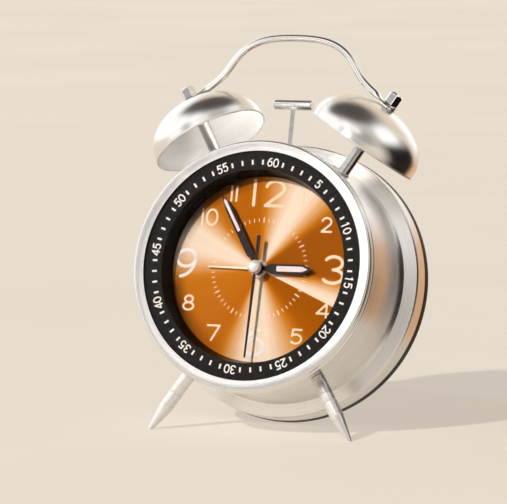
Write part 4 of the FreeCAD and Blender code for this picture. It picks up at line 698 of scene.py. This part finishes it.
def penStroke(path, halfWidth, lift, place, square=False):
    # along the path a domed ribbon: across it, offset = w cos f and height = lift sin f; past each end the
    # half width w falls as a quarter circle, or at once to nothing where the stroke ends square
    length = np.concatenate([[0], np.cumsum(np.linalg.norm(np.diff(path, axis=0), axis=1))])
    count = max(2, int(length[-1] / penStep) + 1)
    s = np.linspace(0, length[-1], count)
    centre = np.stack([np.interp(s, length, path[:, 0]), np.interp(s, length, path[:, 1])], 1)
    heading = np.gradient(centre, axis=0)
    heading /= np.linalg.norm(heading, axis=1)[:, None]
    b = np.radians([90.0] if square else np.linspace(90, 12, 5))
    beyond = (0.0 if square else halfWidth) * np.sin(b)[:, None]
    width = np.concatenate([np.cos(b), np.ones(count), np.cos(b[::-1])]) * halfWidth
    centre = np.concatenate([centre[:1] - beyond * heading[:1], centre, centre[-1:] + beyond[::-1] * heading[-1:]])
    heading = np.concatenate([np.repeat(heading[:1], len(b), 0), heading, np.repeat(heading[-1:], len(b), 0)])
    sideways = np.stack([-heading[:, 1], heading[:, 0]], 1)
    f = np.linspace(0, math.pi, 7)
    flat = centre[:, None] + width[:, None, None] * np.cos(f)[None, :, None] * sideways[:, None]
    height = lift * np.minimum(1.0, 3 * width / halfWidth)[:, None] * np.sin(f)[None] ** 0.5
    return gridded(place(flat.reshape(-1, 2), height.ravel()).reshape(flat.shape[:2] + (3,)))


# each numeral's distance from the middle, angle clockwise from twelve, widening and height
numeral = {"ink": 0.07, "layout": {
    "12": (31.0, 358, 1.17, 11.4), "1": (33.0, 29, 1.0, 6.5), "2": (33.2, 55, 1.04, 6.5),
    "3": (32.4, 88.4, 1.19, 12.1), "4": (33.2, 118, 1.3, 6.4), "5": (32.5, 145, 1.27, 6.5),
    "6": (29.9, 178, 1.17, 11.7), "7": (31.9, 213, 1.3, 6.9), "8": (32.9, 243, 1.22, 6.7),
    "9": (32.2, 272, 1.17, 12.2), "10": (32.3, 309, 1.02, 7.2), "11": (33.4, 335, 1.0, 6.6)},
    "onRays": ("6", "9"), "big": 9, "strokeBig": 1.35, "strokeSmall": 0.9,
    "advance": {"12": (0.36, 0.42), "10": (0.29, 0.36), "11": (0.19, 0.19)}}


def onDial(x0, z0):
    def place(flat, height):
        return np.stack([x0 + flat[:, 0], dialDepth - height, z0 + flat[:, 1]], 1)
    return place


marks, paintedHighlightMarks = [], []
for text, (distance, angle, widened, size) in numeral["layout"].items():
    middle = clockwise(angle, distance, dialDepth)
    width = numeral["strokeBig"] if size > numeral["big"] else numeral["strokeSmall"]
    shifts = (0.0,) if len(text) == 1 else (-numeral["advance"][text][0], numeral["advance"][text][1])
    for digit, shift in zip(text, shifts):
        for stroke in digitStrokes[digit]:
            path = (stroke + (shift, -0.5)) * (widened, 1.0) * (size - width)
            # figures on the painted highlight rays get the whiter ink, a painted highlight
            heap = paintedHighlightMarks if text in numeral["onRays"] else marks
            heap.append(penStroke(path, width / 2, numeral["ink"], onDial(middle[0], middle[2])))
innerTicks = {"radius": 20.0, "count": 60, "short": 1.5, "long": 2.2, "thin": 0.34, "bold": 0.55,
              "ink": 0.05}
for index in range(innerTicks["count"]):
    bold = index % 5 == 0
    reach = (innerTicks["long"] if bold else innerTicks["short"]) / 2
    way = ways(index * 360 / innerTicks["count"])[0]
    ends = np.stack([(innerTicks["radius"] - reach) * way, (innerTicks["radius"] + reach) * way])
    marks.append(penStroke(ends, (innerTicks["bold"] if bold else innerTicks["thin"]) / 2, innerTicks["ink"],
                           onDial(0, 0), square=True))
addPiece("dial_figures", joined(marks), "creamInk", "clock")
# the six and the nine stand on the painted highlight rays, so their ink is painted whiter, a painted highlight
addPiece("dial_figures_painted_highlight", joined(paintedHighlightMarks), "creamInkPaintedHighlight", "clock")

ringPrint = {"front": 1.2, "radius": 42.4, "tickRadius": 42.15, "tick": 2.0, "tickWidth": 0.8, "turn": 6.7,
             "digit": 3.75, "narrow": 0.86, "stroke": 0.56, "advance": 2.55, "ink": 0.05}


def onRing(angle):
    out, along = ways(angle)

    def place(flat, height):
        spot = (ringPrint["radius"] + flat[:, 1:2]) * out + flat[:, 0:1] * along
        return np.stack([spot[:, 0], ringPrint["front"] - height, spot[:, 1]], 1)
    return place


prints = []
for minute in range(60):
    angle = ringPrint["turn"] + 6 * minute
    place = onRing(angle)
    if minute % 5:
        drop = ringPrint["tickRadius"] - ringPrint["radius"]
        reach = ringPrint["tick"] / 2
        prints.append(penStroke(line(0, drop - reach, 0, drop + reach), ringPrint["tickWidth"] / 2,
                                ringPrint["ink"], place, square=True))
        continue
    text = str(minute or 60)
    for index, digit in enumerate(text):
        shift = (index - (len(text) - 1) / 2) * ringPrint["advance"]
        for stroke in (flagOne if digit == "1" else digitStrokes[digit]):
            size = ringPrint["digit"] - ringPrint["stroke"]
            path = (stroke - (0, 0.5)) * (ringPrint["narrow"], 1) * size + (shift, 0)
            prints.append(penStroke(path, ringPrint["stroke"] / 2, ringPrint["ink"], place))
addPiece("ring_figures", joined(prints), "whiteInk", "clock")


def handSurface(angle, s, w, f, depths):
    # at the distance s along the hand, the section reaches w cos f across it, at these depths
    way, sideways = ways(angle)
    spot = s[:, None, None] * way + (w[:, None] * np.cos(f))[..., None] * sideways
    return gridded(np.stack([spot[..., 0], depths, spot[..., 1]], -1))


# the second hand is a stamped blade with a broad tail; its half width by the distance from the hub to the tip
blade = {"angle": 181.4, "front": 5.15, "thickness": 0.35, "thinUnder": 0.3, "bluntness": 0.35, "hub": 2.3,
         "widths": [(-13.1, 0.0), (-13.05, 0.7), (-12.8, 0.84), (-6.0, 0.78), (-2.5, 0.7), (0.0, 0.7), (4.0, 0.66),
                    (36.0, 0.42), (36.7, 0.3), (36.8, 0.0)]}
places, halves = np.array(blade["widths"]).T
s = np.unique(np.concatenate([places, np.linspace(places[0], places[-1], 60), np.linspace(-2.2, 2.2, 25)]))
w = np.interp(s, places, halves)
w = np.maximum(w, np.sqrt(np.clip(blade["hub"] ** 2 - s ** 2, 0, None)))
f = np.linspace(0, 2 * math.pi, 16, endpoint=False)
thick = blade["thickness"] / 2 * np.minimum(1, w / blade["thinUnder"])[:, None] * np.sign(np.sin(f))
thick = thick * np.abs(np.sin(f)) ** blade["bluntness"]
addPiece("second_blade", handSurface(blade["angle"], s, w, f, blade["front"] + blade["thickness"] / 2 - thick),
         "blackLacquer", "second", ["second_hand"])

# luminous paint in the hands: (body, angle, depth, distances of its start and its point, half width)
lume = {"minute_hand": ("minute", 328.6, 6.25, 17.0, 32.3, 0.62),
        "hour_hand": ("hour", 89.4, 7.35, 8.3, 21.8, 1.1)}
lumeShape = {"start": 0.3, "point": 2.2, "lift": 0.12}
for name, (body, angle, front, near, far, half) in lume.items():
    start, point = lumeShape["start"], lumeShape["point"] * half
    s = np.concatenate([np.linspace(near, near + start, 4), np.linspace(near + start + 0.1, far - point, 12),
                        np.linspace(far - point + 0.05, far, 14)])
    # half width: full along the hand, a short round start and a straight-sided point
    w = half * np.minimum(1, np.minimum(np.sqrt(np.maximum(1 - ((near + start - s) / start).clip(0) ** 2, 0)),
                                        (far - s) / point))
    f = np.linspace(0, math.pi, 9)
    lift = lumeShape["lift"] * np.minimum(1, 2 * w / half)[:, None] * np.sin(f)[None] ** 0.5
    addPiece(name + "_lume", handSurface(angle, s, w, f, front - lift), "lumePaint", body)
print("print and lume made")

# the setting knobs, with flutes round the grip and a shallow dish in the end
knob = {"front": 53.5, "radius": 6.0, "length": 6.2, "hub": 3.0, "hubLength": 0.9, "flutes": 24, "fluteDepth": 0.3,
        "fluteFrom": 0.75, "fluteFade": 0.1, "offset": 14.0, "height": 12.85, "top": 0.94,
        "dish": (0.66, 0.62, 0.35), "bends": [0.1, 0.1, 0.1, 0.35, 0.9, 0.3, 0.3, 0.1]}
radius, length, (dishTop, dishFoot, dishDepth) = knob["radius"], knob["length"], knob["dish"]
knobEdge = softened([(0, 0), (knob["hub"], 0), (knob["hub"], knob["hubLength"]), (radius, knob["hubLength"]),
                     (knob["top"] * radius, length), (dishTop * radius, length),
                     (dishFoot * radius, length - dishDepth), (0, length - dishDepth)],
                    knob["bends"], closed=False, count=6)
for place, name, body in ((-1, "time_set_knob", "time_setter"), (1, "alarm_set_knob", "alarm_setter")):
    points, faces, grain = turnedSurface(knobEdge, knob["flutes"] * 10, ring=False)
    # flutes: the radius loses depth * (1/2 + 1/2 cos 24t)^3, and they fade in from 75% to 85% of that radius
    reach = np.hypot(points[:, 0], points[:, 2])
    turn = np.arctan2(points[:, 2], points[:, 0])
    cut = knob["fluteDepth"] * (0.5 + 0.5 * np.cos(knob["flutes"] * turn)) ** 3
    cut *= np.clip((reach / radius - knob["fluteFrom"]) / knob["fluteFade"], 0, 1)
    scale = (reach - cut) / np.maximum(reach, 1e-9)
    points = points * np.stack([scale, np.ones_like(scale), scale], 1)
    points = points + (place * knob["offset"], knob["front"], knob["height"])
    addPiece(name + "_grip", (points, faces, grain), "rubbedAbs", body, [name])
print("knobs made")

# moulded marks on the back: a bead round the cover, collars, setting arrows, ON and OFF, signs for time, alarm
# and lamp, and chevrons on the battery door
relief = {"back": 53.97, "lift": 0.24, "stroke": 0.6, "bead": 52.2, "beadWidth": 0.5, "collar": 8.4, "arrow": 10.4,
          "head": 1.9, "buttonCollar": 5.7, "button": (14.0, 32.0), "switch": (-16.0, 32.0),
          "switchFrame": (6.3, 3.8), "frameBend": 1.2, "letter": 2.7, "letterStep": 2.5, "lettersUp": 6.6,
          "lettersOut": 5.2, "letterLine": 0.42, "signs": 28.5, "signLine": 0.45, "lampUp": 9.5, "lampLine": 0.4,
          "headBend": 35, "door": (0.0, -31.0), "chevron": [(-4.0, 2.0), (0.0, 0.0), (4.0, 2.0)], "chevronStep": 2.2}


def onBack(x0, z0):
    # seen from behind, so across is turned round
    def place(flat, height):
        return np.stack([x0 - flat[:, 0], relief["back"] + height, z0 + flat[:, 1]], 1)
    return place


def raised(strokes, x0, z0, width=relief["stroke"]):
    return [penStroke(stroke, width / 2, relief["lift"], onBack(x0, z0)) for stroke in strokes]


def settingArrow(reach, start, end):
    # an arc with two short strokes back from its end, to either side of its direction
    tip = reach * ways(90 - end)[0]
    strokes = [arc(0, 0, reach, reach, start, end, 40)]
    for bend in (-relief["headBend"], relief["headBend"]):
        strokes.append(np.array([tip, tip + relief["head"] * ways(180 - end - bend)[0]]))
    return strokes


letters = {"O": [arc(0, 0.5, 0.36, 0.5, 90, 450, 40)],
           "N": [line(-0.3, 0, -0.3, 1), line(-0.3, 1, 0.3, 0), line(0.3, 0, 0.3, 1)],
           "F": [line(-0.25, 0, -0.25, 1), line(-0.25, 1, 0.3, 1), line(-0.25, 0.52, 0.2, 0.52)]}
signs = {
    "time": [arc(0, 0, 2.4, 2.4, 90, 450, 40), line(0, 0, 0, 1.5), line(0, 0, 1.0, -0.6)],
    "alarm": [arc(0, -0.6, 1.7, 2.6, 0, 180, 24), line(-2.4, -0.8, 2.4, -0.8),
              arc(0, -1.3, 0.5, 0.6, 180, 360, 10)],
    "lamp": [arc(0, 0, 1.0, 1.0, 90, 450, 30)] + [np.outer((1.7, 2.5), (math.cos(a), math.sin(a)))
                                                  for a in np.radians(np.arange(0, 360, 45))],
}
beadTurn = np.linspace(0, math.pi, 9)
backMarks = []
beads = [turnedSurface(np.stack([relief["bead"] + relief["beadWidth"] * np.cos(beadTurn),
                                 relief["back"] + relief["lift"] * np.sin(beadTurn)], 1), 192)]
for place, sign in ((-1, "time"), (1, "alarm")):
    x0 = place * knob["offset"]
    beads += raised([arc(0, 0, relief["collar"], relief["collar"], 0, 360, 90)], x0, knob["height"])
    for start in (205, 25):
        backMarks += raised(settingArrow(relief["arrow"], start, start + 130), x0, knob["height"])
    backMarks += raised(signs[sign], place * relief["signs"], knob["height"], relief["signLine"])
beads += raised([arc(0, 0, relief["buttonCollar"], relief["buttonCollar"], 0, 360, 60)], *relief["button"])
backMarks += raised(signs["lamp"], relief["button"][0], relief["button"][1] + relief["lampUp"],
                    relief["lampLine"])
wide, tall = relief["switchFrame"]
frameLine = softened([(-wide, -tall), (wide, -tall), (wide, tall), (-wide, tall)], relief["frameBend"])
beads += raised([np.concatenate([frameLine, frameLine[:1]])], *relief["switch"])
for side, word in ((-1, "ON"), (1, "OFF")):
    for index, letter in enumerate(word):
        shift = (index - (len(word) - 1) / 2) * relief["letterStep"]
        backMarks += raised([stroke * relief["letter"] + (shift, 0) for stroke in letters[letter]],
                            relief["switch"][0] - side * relief["lettersOut"],
                            relief["switch"][1] + relief["lettersUp"], relief["letterLine"])
coverLip = {"radius": 56.62, "under": 56.2, "front": 50.5, "back": 52.5}
front, back, top, foot = coverLip["front"], coverLip["back"], coverLip["radius"], coverLip["under"]
lipProfile = softened([(foot, front), (top, front), (top, back), (foot, back)], [0.02, 0.12, 0.02, 0.02])
addPiece("cover_lip", turnedSurface(lipProfile, 256), "blackAbs", "clock")
addPiece("cover_beads", joined(beads), "rubbedAbs", "clock")
addPiece("cover_marks", joined(backMarks), "stampedFoil", "clock")
chevron = np.array(relief["chevron"])
doorMarks = []
for index in range(3):
    for stroke in (chevron[:2], chevron[1:]):
        doorMarks += raised([stroke + (0, index * relief["chevronStep"])], *relief["door"])
addPiece("door_marks", joined(doorMarks), "stampedFoil", "door")
print("back marks made")

# the floor, a white acrylic light table: it glows, so shadows on it stay pale
floorLook = {"reach": 9, "tones": [(0.3, "#989188"), (0.7, "#9B948B")], "patch": 0.004, "glow": 1.62, "mirrored": 0.3}
material, tree, surface = startMaterial("paleAcrylic", Roughness=0.75)
tone = addNode(tree, "TexNoise", {"Vector": millimetres(tree), "Scale": floorLook["patch"], "Detail": 2.0})
tone = addNode(tree, "ValToRGB", [tone], stops=floorLook["tones"])
feed(tree, surface.inputs["Base Color"], tone)
feed(tree, surface.inputs["Emission Color"], tone)
# the glow is for the eye and for the metal's reflections; dull surfaces get only the room's light from it
ray = addNode(tree, "LightPath")
glow = addNode(tree, "MapRange", [ray.outputs["Is Diffuse Ray"], 0.0, 1.0, floorLook["glow"], 0.0])
glow = addNode(tree, "Math.MULTIPLY_ADD", [ray.outputs["Is Glossy Ray"], floorLook["mirrored"], glow])
feed(tree, surface.inputs["Emission Strength"], glow)
mesh, far = bpy.data.meshes.new("floor"), floorLook["reach"]
mesh.from_pydata([(-far, -far, 0), (far, -far, 0), (far, far, 0), (-far, far, 0)], [], [(0, 1, 2, 3)])
mesh.materials.append(material)
floor = stand("floor", mesh)

studio = {
    # the room that the metal mirrors, as soft round patches over a neutral tone:
    # (degrees right of the front, degrees up, radius of the full tone, radius of its edge, tone)
    "base": "#BDB9B4", "mirrored": 1.3, "shed": 0.12,
    "patches": [
        (180, 25, 20, 80, "#DCCDB8"),   # warm wall behind
        (180, 84, 20, 44, "#4A4643"),   # unlit ceiling
        (-62, 10, 32, 47, "#FFFEFD"),   # wide softbox on the left
        (-112, 5, 34, 48, "#FFFEFD"),   # and its further half
        (-100, 66, 10, 32, "#4A4643"),  # the ceiling's left side
        (-17, 40, 8, 22, "#FFFFFF"),    # softbox above the front
        (-25, 19, 5, 16, "#A5A29F"),    # gap between the two
        (25, 20, 10, 30, "#9C9995"),    # dimmer front, right of the camera
        (8, 39, 8, 17, "#F4F2F0"),      # right end of the softbox above the front
        (171, 14, 9, 22, "#FFFFFF"),    # window behind, above the wooden screen
        (94, 31, 17, 31, "#FFFFFF"),    # smaller softbox on the right
    ],
}
world = bpy.data.worlds.new("studio")
bpy.context.scene.world = world
world.use_nodes = True
tree = world.node_tree
background = next(n for n in tree.nodes if n.type == "BACKGROUND")
direction = addNode(tree, "TexCoord").outputs["Generated"]


def towards(right, up):
    # unit vector 'right' degrees round from the front and 'up' degrees above the horizon
    a, e = math.radians(right), math.radians(up)
    return np.array([math.sin(a) * math.cos(e), -math.cos(a) * math.cos(e), math.sin(e)])


tone = linearColour(studio["base"])
for right, up, core, edge, colour in studio["patches"]:
    near = addNode(tree, "VectorMath.DOT_PRODUCT", [direction, tuple(towards(right, up))])
    apart = addNode(tree, "Math.ARCCOSINE", [near.outputs["Value"]])
    amount = addNode(tree, "MapRange", [apart, math.radians(edge), math.radians(core)],
                     interpolation_type="SMOOTHSTEP")
    tone = addNode(tree, "Mix", {"Factor": amount, 6: tone, 7: linearColour(colour)}, data_type="RGBA").outputs[2]
feed(tree, background.inputs["Color"], tone)
# the softboxes are bright in the metal's reflections, and shed less light, so the key's shadows stay clear
mirrored = addNode(tree, "LightPath").outputs["Is Glossy Ray"]
strength = addNode(tree, "MapRange", [mirrored, 0.0, 1.0, studio["shed"], studio["mirrored"]])
feed(tree, background.inputs["Strength"], strength)

# a low curved screen stands on the right and behind, seen only in the metal: felt that draws the dark edges on
# bells, nuts and drum, and wood from its end on, which tints the back of the drum
screen = {"foot": [(0.12, 0.002), (0.125, 0.002)], "top": (0.135, 0.155), "from": 64, "to": 215, "opaque": 0.122,
          "lowered": 0.043, "step": (0.37, 0.45), "start": 0.13, "end": 0.82, "strength": 1.75,
          "tones": [(0.0, "#130F0D"), (0.4, "#130F0D"), (0.47, "#B78F6E"), (0.6, "#BB9F84"), (0.95, "#C0A68E")]}
low, foot, top = np.array([*screen["foot"], screen["top"]])
reach, rise = np.concatenate([[low, foot], np.linspace(foot, top, 5)]).T
turn = np.radians(np.linspace(screen["from"], screen["to"], 41))[:, None]
points = np.stack(np.broadcast_arrays(np.sin(turn) * reach, -np.cos(turn) * reach, rise[None]), -1)
mesh = bpy.data.meshes.new("screen")
mesh.from_pydata(points.reshape(-1, 3).tolist(), [], gridFaces(41, 7, False, False).tolist())
material, tree, surface = startMaterial("screenFelt", Base_Color=(0, 0, 0, 1), Roughness=1.0,
                                        Specular_IOR_Level=0.0, Emission_Strength=screen["strength"])
place = addNode(tree, "SeparateXYZ", [addNode(tree, "TexCoord").outputs["Object"]])
back = addNode(tree, "Math.MULTIPLY", [place.outputs["Y"], -1.0])
bearing = addNode(tree, "Math.ARCTAN2", [place.outputs["X"], back])
whole = addNode(tree, "Math.ADD", [bearing, 2 * math.pi])
within = addNode(tree, "Math.MODULO", [whole, 2 * math.pi])
along = addNode(tree, "MapRange", [within, math.radians(screen["from"]), math.radians(screen["to"])])
feed(tree, surface.inputs["Emission Color"], addNode(tree, "ValToRGB", [along], stops=screen["tones"]))
# the wood's top is lower than the felt's, and the screen fades out at its top and both ends
step = addNode(tree, "MapRange", {0: along, 1: screen["step"][0], 2: screen["step"][1], 4: screen["lowered"]})
level = addNode(tree, "Math.ADD", [place.outputs["Z"], step])
topFade = addNode(tree, "MapRange", [level, screen["top"][1], screen["opaque"]])
endFade = addNode(tree, "MapRange", [along, 1.0, screen["end"]])
startFade = addNode(tree, "MapRange", {0: along, 2: screen["start"]})
fade = addNode(tree, "Math.MULTIPLY", [startFade, endFade])
feed(tree, surface.inputs["Alpha"], addNode(tree, "Math.MULTIPLY", [topFade, fade]))
mesh.materials.append(material)
screenCard = stand("screen", mesh)
screenCard.visible_camera = screenCard.visible_diffuse = screenCard.visible_shadow = False


def addLight(name, kind, look, place, facing):
    # a light that shines along minus 'facing'
    data = bpy.data.lights.new(name, kind)
    data.energy, data.color = look["strength"], linearColour(look["colour"])[:3]
    if kind == "SUN":
        data.angle = math.radians(look["spread"])
    else:
        data.shape, data.size = "DISK", look["size"]
    return stand(name, data, place, facing)


# the key gives the shadows; metal mirrors the room's softboxes instead of it
key = {"right": -22.5, "up": 35.0, "distance": 1.5, "strength": 3.35, "spread": 2.0, "colour": "#FFF8EF"}
way = towards(key["right"], key["up"])
addLight("key", "SUN", key, faceMiddle + key["distance"] * way, way).visible_glossy = False
# three small white cards near the face brighten the bezel's right side and its lower left:
# each one's way to the right and up the face, size and strength
cards = {"right": -24.0, "up": 21.5, "distance": 0.36, "colour": "#FFFDFA", "each": {
    "cardRight": (0.058, 0.008, 0.11, 0.038), "cardShoulder": (0.09, 0.03, 0.12, 0.03),
    "cardLow": (-0.028, -0.05, 0.05, 0.012)}}
way = towards(cards["right"], cards["up"])
for name, (aside, higher, size, strength) in cards["each"].items():
    addLight(name, "AREA", {**cards, "size": size, "strength": strength},
             faceMiddle + cards["distance"] * way + aside * across + higher * upFace, way).visible_camera = False

# a small soft lamp in each bell's mouth, turned into it, lights the satin inside
mouth = {"reach": 61.0, "aside": 13.0, "front": 9.0, "turned": (0.3, 0.7), "size": 0.012, "strength": 0.0115,
         "colour": "#FFFDFB"}
for side, name in ((-1, "mouthLeft"), (1, "mouthRight")):
    outward = clockwise(side * bell["angle"], 1.0, 0.0)
    towardsMiddle = clockwise(side * (bell["angle"] - 90), 1.0, 0.0)
    spot = mouth["reach"] * outward + mouth["aside"] * towardsMiddle + (0, bell["depth"] - mouth["front"], 0)
    aim = toFrame(outward + mouth["turned"][0] * towardsMiddle + (0, mouth["turned"][1], 0)) - toFrame(np.zeros(3))
    lamp = addLight(name, "AREA", mouth, toFrame(spot), -aim)
    lamp.visible_camera = lamp.visible_glossy = False

view = {"place": (0.60591, -1.49731, 0.24000), "looksAt": (-0.00827, -0.00340, 0.07109), "lens": 284.02,
        "film": 36.0, "near": 0.05, "far": 50.0}
data = bpy.data.cameras.new("camera")
data.lens, data.sensor_width = view["lens"], view["film"]
data.clip_start, data.clip_end = view["near"], view["far"]
camera = stand("camera", data, view["place"], Vector(view["looksAt"]) - Vector(view["place"]), "-Z")
bpy.context.scene.camera = camera
bpy.context.scene.view_settings.view_transform = "Standard"

print("scene ready")
